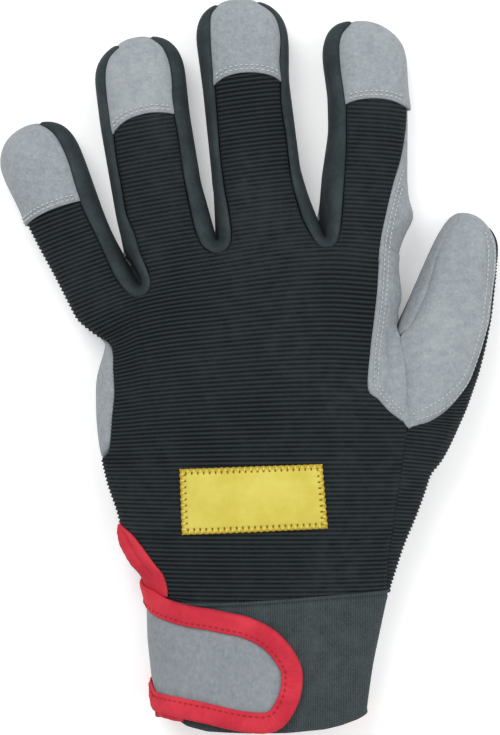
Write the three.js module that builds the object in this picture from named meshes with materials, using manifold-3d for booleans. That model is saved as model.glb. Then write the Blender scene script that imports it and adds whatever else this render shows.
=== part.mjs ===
import * as THREE from 'three';
import { mergeVertices } from 'three/addons/utils/BufferGeometryUtils.js';
import Module from 'manifold-3d';

// A left-hand assembly glove in its filled form, lying on its palm.
// +Y runs from the wrist to the fingertips, +X to the thumb side, +Z out of the back of the hand.
// Lengths are in millimetres.

const wasm = await Module();
wasm.setup();

// Hand
const HAND_LENGTH = 153; // wrist edge to the roots of the fingers
const HAND_WIDTH = 106;
const HAND_HEIGHT = 34;

// Walls, seams and layers
const WALL = 1.5; // thickness of suede, ribbed fabric and elastic
const SEAM_GAP = 0.3; // clearance between two pieces sewn edge to edge
const LAYER_GAP = 0.3; // clearance between two pieces that lie on each other
const PALM_SEAM_HEIGHT = 6; // height at which the palm meets the pieces of the back

// Closing strap
const STRAP_THICKNESS = 1.4;
const STRAP_LENGTH = 55; // side of the wrist to the round end
const STRAP_DEPTH = 46; // across the strap, where it leaves the side of the wrist
const STRAP_ROOT_HEIGHT = 4.5; // where the strap leaves the palm at the side of the wrist
const BINDING_TAPE = 0.8; // thickness of the red tape
const BINDING_WIDTH = 7;
const HEM_WIDTH = 6;
const HOOK_PATCH_LENGTH = 24;
const HOOK_PATCH_DEPTH = 17;
const HOOK_PATCH_PLACE = { across: 0.62, down: 0.68 }; // shares of STRAP_LENGTH and STRAP_DEPTH

// Label
const LABEL_LENGTH = 49;
const LABEL_DEPTH = 22;
const LABEL_THICKNESS = 0.8;
const LABEL_TURN = 2; // degrees
const LABEL_PLACE = { across: 0.01, along: 0.51 };

// Fineness of the surfaces
const HAND_SIDES = { outside: 32, inside: 18 };
const FINGER_SIDES = { outside: 16, inside: 10 };
const TOP_ROUNDNESS = 2.4; // 2 is an ellipse, more is boxier
const PALM_ROUNDNESS = 3.2;
const REST_DEPTH = 1.2; // how much of the round underside is flattened by lying on it
const SIDE_HEIGHT = 0.42; // height of the widest line, as a share of a section's own height
const CEILING = 3 * HAND_HEIGHT; // above everything, for cuts that run through the back

// Sections of the hand from the wrist up. along is a share of HAND_LENGTH, left and right of
// HAND_WIDTH, top and bottom of HAND_HEIGHT.
const HAND_SECTIONS = [
  { along: 0.0, left: -0.281, right: 0.374, top: 0.87, bottom: 0 },
  { along: 0.13, left: -0.292, right: 0.4, top: 0.86, bottom: 0 },
  { along: 0.29, left: -0.316, right: 0.443, top: 0.88, bottom: 0 },
  { along: 0.35, left: -0.352, right: 0.471, top: 0.9, bottom: 0 },
  { along: 0.407, left: -0.405, right: 0.497, top: 0.93, bottom: 0 },
  { along: 0.474, left: -0.421, right: 0.539, top: 0.97, bottom: 0 },
  { along: 0.545, left: -0.458, right: 0.584, top: 1.0, bottom: 0 },
  { along: 0.626, left: -0.484, right: 0.63, top: 1.02, bottom: 0 },
  { along: 0.704, left: -0.494, right: 0.6, top: 1.03, bottom: 0 },
  { along: 0.78, left: -0.495, right: 0.52, top: 1.02, bottom: 0 },
  { along: 0.843, left: -0.465, right: 0.48, top: 0.99, bottom: 0 },
  { along: 0.91, left: -0.45, right: 0.47, top: 0.94, bottom: 0 },
  { along: 0.98, left: -0.42, right: 0.45, top: 0.86, bottom: 0 },
  { along: 1.08, left: -0.39, right: 0.42, top: 0.72, bottom: 0 },
];

// Fingers. lengthShare, widthShare and heightShare are shares of HAND_LENGTH, HAND_WIDTH and
// HAND_HEIGHT. root places the finger's foot as shares of the hand's width and length, lean is in
// degrees towards the thumb. In the sections, along is a share of the finger's length, left and
// right of its width, top and bottom of its height. seamLeft and seamRight are where the piece on
// the back of the finger ends; a seam past the side means that it wraps down to the palm seam.
// capLeft, capMiddle and capRight are where the tip cap starts.
const FINGER_SHARES = {
  little: {
    lengthShare: 0.4412, widthShare: 0.2594, heightShare: 0.618,
    lean: -20.2, root: { across: -0.464, along: 0.934 },
    capLeft: 0.535, capMiddle: 0.572, capRight: 0.56,
    sections: [
      { along: -0.2, left: -0.11, right: 0.4, seamLeft: -0.8, seamRight: 0.34, top: 1.0, bottom: 0 },
      { along: 0.0, left: -0.39, right: 0.5, seamLeft: -0.8, seamRight: 0.31, top: 1.1, bottom: 0 },
      { along: 0.24, left: -0.46, right: 0.425, seamLeft: -0.8, seamRight: 0.22, top: 1.07, bottom: 0 },
      { along: 0.4, left: -0.52, right: 0.38, seamLeft: -0.8, seamRight: 0.19, top: 1.0, bottom: 0 },
      { along: 0.72, left: -0.615, right: 0.39, seamLeft: -0.9, seamRight: 0.2, top: 0.96, bottom: 0 },
      { along: 0.84, left: -0.635, right: 0.375, seamLeft: -0.9, seamRight: 0.19, top: 0.9, bottom: 0 },
      { along: 0.92, left: -0.58, right: 0.32, seamLeft: -0.9, seamRight: 0.16, top: 0.8, bottom: 0.03 },
      { along: 0.97, left: -0.48, right: 0.24, seamLeft: -0.9, seamRight: 0.1, top: 0.66, bottom: 0.1 },
      { along: 1.0, left: -0.3, right: 0.12, seamLeft: -0.9, seamRight: 0.02, top: 0.5, bottom: 0.2 },
    ],
  },
  ring: {
    lengthShare: 0.5346, widthShare: 0.2877, heightShare: 0.647,
    lean: -9.9, root: { across: -0.242, along: 1.009 },
    capLeft: 0.63, capMiddle: 0.69, capRight: 0.668,
    sections: [
      { along: -0.2, left: -0.46, right: 0.46, seamLeft: -0.26, seamRight: 0.38, top: 1.15, bottom: 0 },
      { along: 0.0, left: -0.6, right: 0.57, seamLeft: -0.27, seamRight: 0.38, top: 1.2, bottom: 0 },
      { along: 0.14, left: -0.545, right: 0.525, seamLeft: -0.345, seamRight: 0.33, top: 1.13, bottom: 0 },
      { along: 0.3, left: -0.54, right: 0.465, seamLeft: -0.415, seamRight: 0.29, top: 1.05, bottom: 0 },
      { along: 0.66, left: -0.54, right: 0.475, seamLeft: -0.42, seamRight: 0.31, top: 0.98, bottom: 0 },
      { along: 0.82, left: -0.52, right: 0.505, seamLeft: -0.4, seamRight: 0.35, top: 0.93, bottom: 0 },
      { along: 0.91, left: -0.475, right: 0.48, seamLeft: -0.36, seamRight: 0.345, top: 0.83, bottom: 0.03 },
      { along: 0.965, left: -0.36, right: 0.42, seamLeft: -0.26, seamRight: 0.28, top: 0.7, bottom: 0.1 },
      { along: 1.0, left: -0.13, right: 0.26, seamLeft: -0.1, seamRight: 0.18, top: 0.5, bottom: 0.2 },
    ],
  },
  middle: {
    lengthShare: 0.5608, widthShare: 0.2877, heightShare: 0.662,
    lean: -7.0, root: { across: 0.069, along: 1.066 },
    capLeft: 0.68, capMiddle: 0.715, capRight: 0.665,
    sections: [
      { along: -0.25, left: -0.47, right: 0.45, seamLeft: -0.44, seamRight: 0.44, top: 1.2, bottom: 0 },
      { along: 0.0, left: -0.67, right: 0.6, seamLeft: -0.45, seamRight: 0.52, top: 1.22, bottom: 0 },
      { along: 0.11, left: -0.62, right: 0.54, seamLeft: -0.42, seamRight: 0.42, top: 1.15, bottom: 0 },
      { along: 0.3, left: -0.565, right: 0.435, seamLeft: -0.445, seamRight: 0.335, top: 1.05, bottom: 0 },
      { along: 0.66, left: -0.545, right: 0.43, seamLeft: -0.425, seamRight: 0.335, top: 0.98, bottom: 0 },
      { along: 0.82, left: -0.55, right: 0.485, seamLeft: -0.405, seamRight: 0.385, top: 0.93, bottom: 0 },
      { along: 0.91, left: -0.525, right: 0.455, seamLeft: -0.385, seamRight: 0.37, top: 0.83, bottom: 0.03 },
      { along: 0.965, left: -0.45, right: 0.36, seamLeft: -0.33, seamRight: 0.27, top: 0.7, bottom: 0.1 },
      { along: 1.0, left: -0.33, right: 0.17, seamLeft: -0.24, seamRight: 0.1, top: 0.5, bottom: 0.2 },
    ],
  },
  index: {
    lengthShare: 0.4987, widthShare: 0.283, heightShare: 0.662,
    lean: 3.1, root: { across: 0.336, along: 1.075 },
    capLeft: 0.636, capMiddle: 0.67, capRight: 0.634,
    sections: [
      { along: -0.35, left: -0.44, right: 0.47, seamLeft: -0.3, seamRight: 0.25, top: 1.15, bottom: 0 },
      { along: -0.2, left: -0.5, right: 0.52, seamLeft: -0.3, seamRight: 0.27, top: 1.22, bottom: 0 },
      { along: 0.0, left: -0.53, right: 0.52, seamLeft: -0.28, seamRight: 0.32, top: 1.2, bottom: 0 },
      { along: 0.12, left: -0.455, right: 0.625, seamLeft: -0.16, seamRight: 0.37, top: 1.14, bottom: 0 },
      { along: 0.3, left: -0.41, right: 0.57, seamLeft: -0.135, seamRight: 0.44, top: 1.05, bottom: 0 },
      { along: 0.5, left: -0.363, right: 0.545, seamLeft: -0.16, seamRight: 0.505, top: 1.0, bottom: 0 },
      { along: 0.62, left: -0.38, right: 0.55, seamLeft: -0.185, seamRight: 0.515, top: 0.98, bottom: 0 },
      { along: 0.66, left: -0.395, right: 0.53, seamLeft: -0.2, seamRight: 0.8, top: 0.97, bottom: 0 },
      { along: 0.82, left: -0.475, right: 0.48, seamLeft: -0.265, seamRight: 0.8, top: 0.93, bottom: 0 },
      { along: 0.91, left: -0.48, right: 0.41, seamLeft: -0.285, seamRight: 0.8, top: 0.83, bottom: 0.03 },
      { along: 0.965, left: -0.415, right: 0.28, seamLeft: -0.24, seamRight: 0.8, top: 0.7, bottom: 0.1 },
      { along: 1.0, left: -0.28, right: 0.09, seamLeft: -0.16, seamRight: 0.8, top: 0.5, bottom: 0.2 },
    ],
  },
  thumb: {
    lengthShare: 0.4301, widthShare: 0.2594, heightShare: 0.706,
    lean: 13.6, root: { across: 0.565, along: 0.731 },
    sections: [
      { along: -0.4, left: -0.35, right: 0.3, seamLeft: -0.3, seamRight: 0.2, top: 1.1, bottom: 0 },
      { along: -0.2, left: -0.45, right: 0.43, seamLeft: -0.4, seamRight: 0.2, top: 1.17, bottom: 0 },
      { along: 0.0, left: -0.58, right: 0.52, seamLeft: -0.5, seamRight: 0.34, top: 1.18, bottom: 0 },
      { along: 0.2, left: -0.62, right: 0.57, seamLeft: -0.5, seamRight: 0.5, top: 1.12, bottom: 0 },
      { along: 0.35, left: -0.56, right: 0.585, seamLeft: -0.44, seamRight: 0.53, top: 1.07, bottom: 0 },
      { along: 0.5, left: -0.487, right: 0.578, seamLeft: -0.34, seamRight: 0.53, top: 1.0, bottom: 0 },
      { along: 0.8, left: -0.353, right: 0.484, seamLeft: -0.26, seamRight: 0.42, top: 0.87, bottom: 0 },
      { along: 0.9, left: -0.284, right: 0.396, seamLeft: -0.21, seamRight: 0.33, top: 0.76, bottom: 0.03 },
      { along: 0.96, left: -0.2, right: 0.26, seamLeft: -0.17, seamRight: 0.2, top: 0.63, bottom: 0.1 },
      { along: 1.0, left: -0.11, right: 0.08, seamLeft: -0.1, seamRight: 0.04, top: 0.45, bottom: 0.2 },
    ],
  },
};

// Strips between two fingers. fromLeft and fromRight are the shares of the two fingers' lengths
// where the strip leaves their seams for the round tongue between them. across and along place the
// end of the tongue as shares of HAND_WIDTH and HAND_LENGTH.
const CROTCHES = [
  { left: 'little', right: 'ring', fromLeft: 0.24, fromRight: 0.1, across: -0.366, along: 0.961 },
  { left: 'ring', right: 'middle', fromLeft: 0.17, fromRight: 0.08, across: -0.107, along: 1.057 },
  { left: 'middle', right: 'index', fromLeft: 0.12, fromRight: 0.14, across: 0.242, along: 1.071 },
];
const TONGUE_STEPS = 8;
const TONGUE_FOOT_SPREAD = 3; // the tongue is wider low down, inside the crotch
const TONGUE_FOOT_HEIGHT = 0.38 * HAND_HEIGHT;
const THUMB_TOP_HEIGHT = 0.3 * HAND_HEIGHT; // how far down the thumb's upper piece reaches at the tip
const PAST_THE_TIP = 1.1; // share of a finger's length, for cuts that run off the fingertip

// Seam lines on the back of the hand, as shares of HAND_WIDTH and HAND_LENGTH
const LITTLE_SIDE_SEAM = [
  { across: -0.594, along: 0.9 },
  { across: -0.516, along: 0.883 },
  { across: -0.465, along: 0.854 },
  { across: -0.436, along: 0.785 },
  { across: -0.452, along: 0.726 },
  { across: -0.471, along: 0.635 },
  { across: -0.458, along: 0.548 },
  { across: -0.5, along: 0.507 },
];
const SLIT_EDGE = [
  { across: -0.41, along: 0.454 },
  { across: -0.345, along: 0.4 },
  { across: -0.3, along: 0.358 },
  { across: -0.271, along: 0.32 },
  { across: -0.262, along: 0.275 },
];
const CUFF_SEAM = [
  { across: -0.016, along: 0.275 },
  { across: 0.161, along: 0.284 },
  { across: 0.438, along: 0.304 },
];
const THUMB_SIDE_SEAM = [
  { across: 0.447, along: 0.373 },
  { across: 0.477, along: 0.496 },
  { across: 0.505, along: 0.619 },
  { across: 0.51, along: 0.671 },
];
const THUMB_FOOT_SEAM = [
  { across: 0.545, along: 0.674 },
  { across: 0.588, along: 0.687 },
  { across: 0.64, along: 0.71 },
];
const THUMB_ROOT_SEAM = [
  { across: 0.51, along: 0.742 },
  { across: 0.507, along: 0.789 },
  { across: 0.503, along: 0.829 },
  { across: 0.484, along: 0.872 },
];
const WRAP_FOOT_SEAM = [
  { across: 0.481, along: 0.691 },
  { across: 0.436, along: 0.717 },
  { across: 0.394, along: 0.735 },
];
const INDEX_SIDE_SEAM = [
  { across: 0.381, along: 0.764 },
  { across: 0.39, along: 0.843 },
  { across: 0.413, along: 0.977 },
  { across: 0.426, along: 1.08 },
];
const FINGER_ROOTS = [
  { across: 0.232, along: 1.142 },
  { across: -0.119, along: 1.113 },
  { across: -0.413, along: 1.059 },
  { across: -0.66, along: 1.0 },
];

// Outline of the strap from the side of the wrist round its end and back. across is a share of
// STRAP_LENGTH, down of STRAP_DEPTH, both from the corner where the strap starts at the slit.
const STRAP_CORNER = { across: -0.349, along: 0.327 };
const STRAP_OUTLINE = [
  { across: -0.15, down: -0.06 },
  { across: 0.07, down: 0.06 },
  { across: 0.21, down: 0.149 },
  { across: 0.435, down: 0.208 },
  { across: 0.64, down: 0.26 },
  { across: 0.783, down: 0.335 },
  { across: 0.89, down: 0.44 },
  { across: 0.97, down: 0.58 },
  { across: 1.0, down: 0.735 },
  { across: 0.985, down: 0.87 },
  { across: 0.92, down: 1.03 },
  { across: 0.84, down: 1.11 },
  { across: 0.73, down: 1.14 },
  { across: 0.55, down: 1.11 },
  { across: 0.37, down: 1.055 },
  { across: 0.2, down: 0.99 },
  { across: 0.08, down: 0.92 },
  { across: -0.15, down: 0.8 },
];

const WRIST_BOW = 5.5; // how much further the middle of the wrist edge runs than its sides
const KNUCKLE_START = 0.84; // share of HAND_LENGTH where the hand starts to follow the finger roots
const KNUCKLE_SLOPE = 0.13; // climb of the finger roots towards the index finger
const HAND_START = -HAND_LENGTH * 0.8; // Y of the wrist edge

// Fingers in millimetres

function sized(finger) {
  return {
    ...finger,
    length: finger.lengthShare * HAND_LENGTH,
    width: finger.widthShare * HAND_WIDTH,
    height: finger.heightShare * HAND_HEIGHT,
  };
}

const FINGERS = Object.fromEntries(
  Object.entries(FINGER_SHARES).map(([name, finger]) => [name, sized(finger)]),
);

// Points in plan

function handPoint({ across, along }) {
  return new THREE.Vector2(across * HAND_WIDTH, HAND_START + along * HAND_LENGTH);
}

function fingerPoint(finger, along, sideways) {
  const root = handPoint(finger.root);
  const lean = THREE.MathUtils.degToRad(finger.lean);
  const forward = along * finger.length;
  const side = sideways * finger.width;
  return new THREE.Vector2(
    root.x + forward * Math.sin(lean) + side * Math.cos(lean),
    root.y + forward * Math.cos(lean) - side * Math.sin(lean),
  );
}

function sectionValue(sections, along, column) {
  const last = sections.length - 1;
  const next = sections.findIndex((section) => section.along >= along);
  if (next === 0) return sections[0][column];
  if (next === -1) return sections[last][column];
  const low = sections[next - 1];
  const high = sections[next];
  const share = (along - low.along) / (high.along - low.along);
  return THREE.MathUtils.lerp(low[column], high[column], share);
}

// Points of one seam of a finger between two shares of its length
function fingerSeam(finger, column, from, to) {
  const stops = finger.sections.map((section) => section.along).filter((at) => at > from && at < to);
  const stations = [from, ...stops, to];
  return stations.map((at) => fingerPoint(finger, at, sectionValue(finger.sections, at, column)));
}

// Moves an outline outwards by a distance, or inwards by a negative one
function growOutline(outline, distance) {
  const turn = THREE.ShapeUtils.isClockWise(outline) ? -1 : 1;
  return outline.map((point, i) => {
    const before = outline[(i + outline.length - 1) % outline.length];
    const after = outline[(i + 1) % outline.length];
    const inDirection = point.clone().sub(before).normalize();
    const outDirection = after.clone().sub(point).normalize();
    const inNormal = new THREE.Vector2(inDirection.y, -inDirection.x);
    const outNormal = new THREE.Vector2(outDirection.y, -outDirection.x);
    const middle = inNormal.clone().add(outNormal).normalize();
    const stretch = 1 / Math.max(0.5, middle.dot(inNormal));
    return point.clone().addScaledVector(middle, distance * turn * stretch);
  });
}

// Solids

function solidOf(geometry) {
  geometry.deleteAttribute('normal');
  geometry.deleteAttribute('uv');
  const merged = mergeVertices(geometry, 1e-5);
  return new wasm.Manifold(new wasm.Mesh({
    numProp: 3,
    vertProperties: new Float32Array(merged.attributes.position.array),
    triVerts: new Uint32Array(merged.index.array),
  }));
}

function prism(outline, low = -1, high = CEILING) {
  const geometry = new THREE.ExtrudeGeometry(new THREE.Shape(outline), {
    depth: high - low,
    bevelEnabled: false,
  });
  geometry.translate(0, 0, low);
  return solidOf(geometry);
}

function union(solids) {
  return solids.reduce((all, solid) => all.add(solid));
}

// Closed skin over rings that all have the same number of points
function loft(rings) {
  const count = rings[0].length;
  const points = rings.flat();
  const faces = [];
  for (let row = 0; row < rings.length - 1; row += 1) {
    for (let i = 0; i < count; i += 1) {
      const a = row * count + i;
      const b = row * count + (i + 1) % count;
      faces.push(a, a + count, b, b, a + count, b + count);
    }
  }
  for (const row of [0, rings.length - 1]) {
    const centre = new THREE.Vector3();
    rings[row].forEach((point) => centre.addScaledVector(point, 1 / count));
    const hub = points.push(centre) - 1;
    for (let i = 0; i < count; i += 1) {
      const a = row * count + i;
      const b = row * count + (i + 1) % count;
      faces.push(...(row === 0 ? [hub, a, b] : [hub, b, a]));
    }
  }
  const geometry = new THREE.BufferGeometry();
  geometry.setFromPoints(points);
  geometry.setIndex(faces);
  return solidOf(geometry);
}

// One section: round over the back, flatter on the palm. place turns a sideways distance into a
// plan point. grow moves the whole section outwards, or inwards when it is negative.
function sectionRing(sides, size, grow, place) {
  const middle = (size.left + size.right) / 2;
  const half = (size.right - size.left) / 2 + grow;
  const top = size.top + grow;
  const bottom = Math.max(0, size.bottom - grow) - REST_DEPTH;
  const floor = Math.max(0, -grow);
  const widest = THREE.MathUtils.lerp(size.bottom, size.top, SIDE_HEIGHT);
  const ring = [];
  for (let i = 0; i < sides; i += 1) {
    const angle = (2 * Math.PI * i) / sides;
    const isTop = Math.sin(angle) >= 0;
    const power = 2 / (isTop ? TOP_ROUNDNESS : PALM_ROUNDNESS);
    const sideways = Math.sign(Math.cos(angle)) * Math.abs(Math.cos(angle)) ** power;
    const upwards = Math.abs(Math.sin(angle)) ** power;
    const plan = place(middle + half * sideways);
    const height = isTop ? top - widest : widest - bottom;
    const z = widest + (isTop ? 1 : -1) * height * upwards;
    ring.push(new THREE.Vector3(plan.x, plan.y, Math.max(floor, z)));
  }
  return ring;
}

// Bulge of the wrist end: its middle runs further than its sides
function wristBow(x, along) {
  const reach = 1 - THREE.MathUtils.clamp(along / CUFF_SEAM[0].along, 0, 1);
  return WRIST_BOW * reach * (x / (HAND_WIDTH / 2)) ** 2;
}

// The finger roots climb from the little finger towards the index finger
function knuckleSlope(x, along) {
  const share = (along - KNUCKLE_START) / (1 - KNUCKLE_START);
  return KNUCKLE_SLOPE * x * Math.max(0, share);
}

function handTube(grow, extension = 0) {
  const rows = HAND_SECTIONS.map((section) => ({ ...section }));
  if (extension > 0) rows.unshift({ ...rows[0], along: rows[0].along - extension / HAND_LENGTH });
  rows.at(-1).along += grow / HAND_LENGTH;
  return loft(rows.map((row) => {
    const size = {
      left: row.left * HAND_WIDTH,
      right: row.right * HAND_WIDTH,
      top: row.top * HAND_HEIGHT,
      bottom: row.bottom * HAND_HEIGHT,
    };
    const y = HAND_START + row.along * HAND_LENGTH;
    const sides = grow < 0 ? HAND_SIDES.inside : HAND_SIDES.outside;
    return sectionRing(sides, size, grow, (x) => (
      new THREE.Vector2(x, y + wristBow(x, row.along) + knuckleSlope(x, row.along))
    ));
  }));
}

function fingerTube(finger, grow) {
  const reach = (finger.length + grow) / finger.length;
  return loft(finger.sections.map((row) => {
    const size = {
      left: row.left * finger.width,
      right: row.right * finger.width,
      top: row.top * finger.height,
      bottom: row.bottom * finger.height,
    };
    const at = row.along > 0 ? row.along * reach : row.along;
    const sides = grow < 0 ? FINGER_SIDES.inside : FINGER_SIDES.outside;
    return sectionRing(sides, size, grow, (x) => fingerPoint(finger, at, x / finger.width));
  }));
}

// Outer form, the room inside it, and the skin between them

const fingers = Object.values(FINGERS);
const outerForm = union([handTube(0), ...fingers.map((finger) => fingerTube(finger, 0))]);
const innerForm = union([handTube(-WALL, 2 * WALL), ...fingers.map((finger) => fingerTube(finger, -WALL))]);
const skin = outerForm.subtract(innerForm);

// Plan outlines of the pieces of the back

const fourFingers = ['little', 'ring', 'middle', 'index'];

function fingerFieldOutline(finger, from, to) {
  const left = fingerSeam(finger, 'seamLeft', from, to);
  const right = fingerSeam(finger, 'seamRight', from, to);
  return [...left, ...right.reverse()];
}

function capOutline(finger) {
  const left = fingerSeam(finger, 'seamLeft', finger.capLeft, 1);
  const right = fingerSeam(finger, 'seamRight', finger.capRight, 1);
  const start = left[0];
  const end = right[0];
  const crown = fingerPoint(finger, finger.capMiddle, 0);
  const quarter = (a, b) => a.clone().lerp(b, 0.5).add(
    crown.clone().sub(start.clone().lerp(end, 0.5)).multiplyScalar(0.25),
  );
  const pastLeft = fingerPoint(finger, PAST_THE_TIP, finger.sections.at(-1).seamLeft);
  const pastRight = fingerPoint(finger, PAST_THE_TIP, finger.sections.at(-1).seamRight);
  const foot = [quarter(end, crown), crown, quarter(crown, start)];
  return [...left, pastLeft, pastRight, ...right.reverse(), ...foot];
}

function crotchOutlines(crotch) {
  const leftFinger = FINGERS[crotch.left];
  const rightFinger = FINGERS[crotch.right];
  const up = fingerSeam(leftFinger, 'seamRight', crotch.fromLeft, 1);
  const down = fingerSeam(rightFinger, 'seamLeft', crotch.fromRight, 1).reverse();
  const start = down.at(-1);
  const end = up[0];
  const middle = start.clone().lerp(end, 0.5);
  const depth = handPoint(crotch).sub(middle);
  const tongue = [];
  for (let step = 1; step < TONGUE_STEPS; step += 1) {
    const angle = (Math.PI * step) / TONGUE_STEPS;
    tongue.push(middle.clone()
      .addScaledVector(start.clone().sub(middle), Math.cos(angle))
      .addScaledVector(depth, Math.sin(angle)));
  }
  const pastLeft = fingerPoint(leftFinger, PAST_THE_TIP, leftFinger.sections.at(-1).seamRight);
  const pastRight = fingerPoint(rightFinger, PAST_THE_TIP, rightFinger.sections.at(-1).seamLeft);
  return {
    strip: [...up, pastLeft, pastRight, ...down, ...tongue],
    foot: growOutline([start, ...tongue, end], TONGUE_FOOT_SPREAD),
  };
}

function beside(point, across, along) {
  return point.clone().add(new THREE.Vector2(across * HAND_WIDTH, along * HAND_LENGTH));
}

const thumb = FINGERS.thumb;
const thumbEdge = fingerSeam(thumb, 'seamRight', 0.15, 1);
const thumbGroove = fingerSeam(thumb, 'seamLeft', 0.33, 1);
const pastThumb = fingerPoint(thumb, PAST_THE_TIP, 0);
const thumbFoot = THUMB_FOOT_SEAM.map(handPoint);
const thumbSide = THUMB_SIDE_SEAM.map(handPoint);
const thumbRoot = THUMB_ROOT_SEAM.map(handPoint);
const cuffSeam = CUFF_SEAM.map(handPoint);
const slitEdge = SLIT_EDGE.map(handPoint);

const handField = [
  ...LITTLE_SIDE_SEAM.map(handPoint),
  beside(slitEdge[0], -0.09, 0),
  ...slitEdge,
  ...cuffSeam,
  ...thumbSide,
  ...WRAP_FOOT_SEAM.map(handPoint),
  ...INDEX_SIDE_SEAM.map(handPoint),
  ...FINGER_ROOTS.map(handPoint),
];
const thumbTopField = [
  ...thumbGroove,
  pastThumb,
  ...[...thumbEdge].reverse(),
  ...[...thumbFoot].reverse(),
  thumbSide.at(-1),
  ...thumbRoot,
];
const thumbBackField = [
  ...thumbFoot,
  ...thumbEdge,
  pastThumb,
  beside(pastThumb, 0.4, 0),
  beside(cuffSeam.at(-1), 0.4, 0),
  cuffSeam.at(-1),
  ...thumbSide,
];
const thumbField = [
  ...thumbRoot,
  fingerPoint(thumb, 0.38, -0.56),
  fingerPoint(thumb, 0.5, -0.54),
  fingerPoint(thumb, PAST_THE_TIP, -0.5),
  fingerPoint(thumb, PAST_THE_TIP, 0.9),
  fingerPoint(thumb, 0, 0.9),
  fingerPoint(thumb, -0.3, 0.6),
  thumbSide.at(-1),
];
const cuffField = [
  beside(slitEdge.at(-1), -0.3, 0),
  beside(slitEdge.at(-1), 0, 0),
  ...cuffSeam,
  beside(cuffSeam.at(-1), 0.2, 0.005),
  beside(cuffSeam.at(-1), 0.2, -0.5),
  beside(slitEdge.at(-1), -0.3, -0.5),
];
const slitField = [
  ...slitEdge,
  beside(slitEdge.at(-1), -0.3, 0),
  beside(slitEdge[0], -0.3, 0),
];
const hemField = [
  handPoint({ across: -1, along: -0.2 }),
  handPoint({ across: 1, along: -0.2 }),
  handPoint({ across: 1, along: HEM_WIDTH / HAND_LENGTH }),
  handPoint({ across: -1, along: HEM_WIDTH / HAND_LENGTH }),
];

// A region takes its share of the skin between two heights. clear is the room that its
// neighbours leave.
function region(outlines, low = PALM_SEAM_HEIGHT, high = CEILING) {
  return {
    solid: union(outlines.map((outline) => prism(outline, low, high))),
    clear: union(outlines.map((outline) => (
      prism(growOutline(outline, SEAM_GAP), low - SEAM_GAP, high + SEAM_GAP)
    ))),
  };
}

function joinRegions(a, b) {
  return { solid: a.solid.add(b.solid), clear: a.clear.add(b.clear) };
}

function crotchRegion(crotch) {
  const { strip, foot } = crotchOutlines(crotch);
  return joinRegions(region([strip]), region([foot], PALM_SEAM_HEIGHT, TONGUE_FOOT_HEIGHT));
}

const capRegions = fourFingers.map((name) => region([capOutline(FINGERS[name])]));
const crotchRegions = CROTCHES.map(crotchRegion);
const fingerFields = fourFingers.map((name) => fingerFieldOutline(FINGERS[name], -0.15, 0.75));
const backRegion = region([handField, ...fingerFields]);
const thumbTopRegion = region([thumbTopField], THUMB_TOP_HEIGHT);
const thumbBackRegion = region([thumbBackField]);
const thumbRegion = region([thumbField], -1);
const slitRegion = region([slitField]);
const cuffRegion = region([cuffField]);

function panel(own, taken) {
  return taken.reduce((solid, other) => solid.subtract(other.clear), skin.intersect(own.solid));
}

const caps = capRegions.map((own) => panel(own, []));
const crotches = crotchRegions.map((own) => panel(own, capRegions));
const cuffBand = panel(cuffRegion, []);
const slitBinding = panel(slitRegion, [cuffRegion]);
const backPanel = panel(backRegion, [...capRegions, ...crotchRegions, cuffRegion, slitRegion]);
const thumbBackPanel = panel(thumbBackRegion, [cuffRegion, backRegion]);
const thumbTopPanel = panel(thumbTopRegion, [backRegion, thumbBackRegion]);
const thumbUnderPanel = panel(thumbRegion, [backRegion, thumbBackRegion, thumbTopRegion]);
const hemRegion = region([hemField], -1);
const hemBinding = panel(hemRegion, [cuffRegion]);
const palmPanel = [
  ...capRegions, ...crotchRegions, cuffRegion, slitRegion, backRegion,
  thumbBackRegion, thumbTopRegion, thumbRegion, hemRegion,
].reduce((solid, other) => solid.subtract(other.clear), skin);

// Layers on the cuff and on the back

function layer(low, high) {
  return handTube(high, STRAP_DEPTH / 4).subtract(handTube(low, STRAP_DEPTH / 2));
}

function strapPoint({ across, down }) {
  return handPoint(STRAP_CORNER).add(new THREE.Vector2(across * STRAP_LENGTH, -down * STRAP_DEPTH));
}

const strapOutline = STRAP_OUTLINE.map(strapPoint);
const tapeLow = LAYER_GAP;
const strapLow = tapeLow + BINDING_TAPE + LAYER_GAP;
const strapHigh = strapLow + STRAP_THICKNESS;
const tapeHigh = strapHigh + LAYER_GAP + BINDING_TAPE;
const strapCore = growOutline(strapOutline, -BINDING_TAPE - LAYER_GAP);
const strapInside = growOutline(strapOutline, -BINDING_WIDTH);
const strap = layer(strapLow, strapHigh).intersect(prism(strapCore, STRAP_ROOT_HEIGHT));
const strapRoom = layer(strapLow - LAYER_GAP, strapHigh + LAYER_GAP)
  .intersect(prism(growOutline(strapCore, LAYER_GAP), 0));
const strapBinding = layer(tapeLow, tapeHigh)
  .intersect(prism(strapOutline, STRAP_ROOT_HEIGHT))
  .subtract(prism(strapInside))
  .subtract(strapRoom);

function rectangle(centre, length, depth, turn) {
  const corners = [[-1, -1], [1, -1], [1, 1], [-1, 1]];
  return corners.map(([x, y]) => new THREE.Vector2((x * length) / 2, (y * depth) / 2)
    .rotateAround(new THREE.Vector2(), THREE.MathUtils.degToRad(turn))
    .add(centre));
}

const hookPatchOutline = rectangle(strapPoint(HOOK_PATCH_PLACE), HOOK_PATCH_LENGTH, HOOK_PATCH_DEPTH, 0);
const hookPatch = layer(tapeLow, tapeLow + BINDING_TAPE)
  .intersect(prism(hookPatchOutline, HAND_HEIGHT / 2))
  .intersect(prism(growOutline(strapInside, -LAYER_GAP)));

const labelOutline = rectangle(handPoint(LABEL_PLACE), LABEL_LENGTH, LABEL_DEPTH, LABEL_TURN);
const label = layer(LAYER_GAP, LAYER_GAP + LABEL_THICKNESS).intersect(prism(labelOutline, HAND_HEIGHT / 2));

// Materials

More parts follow.
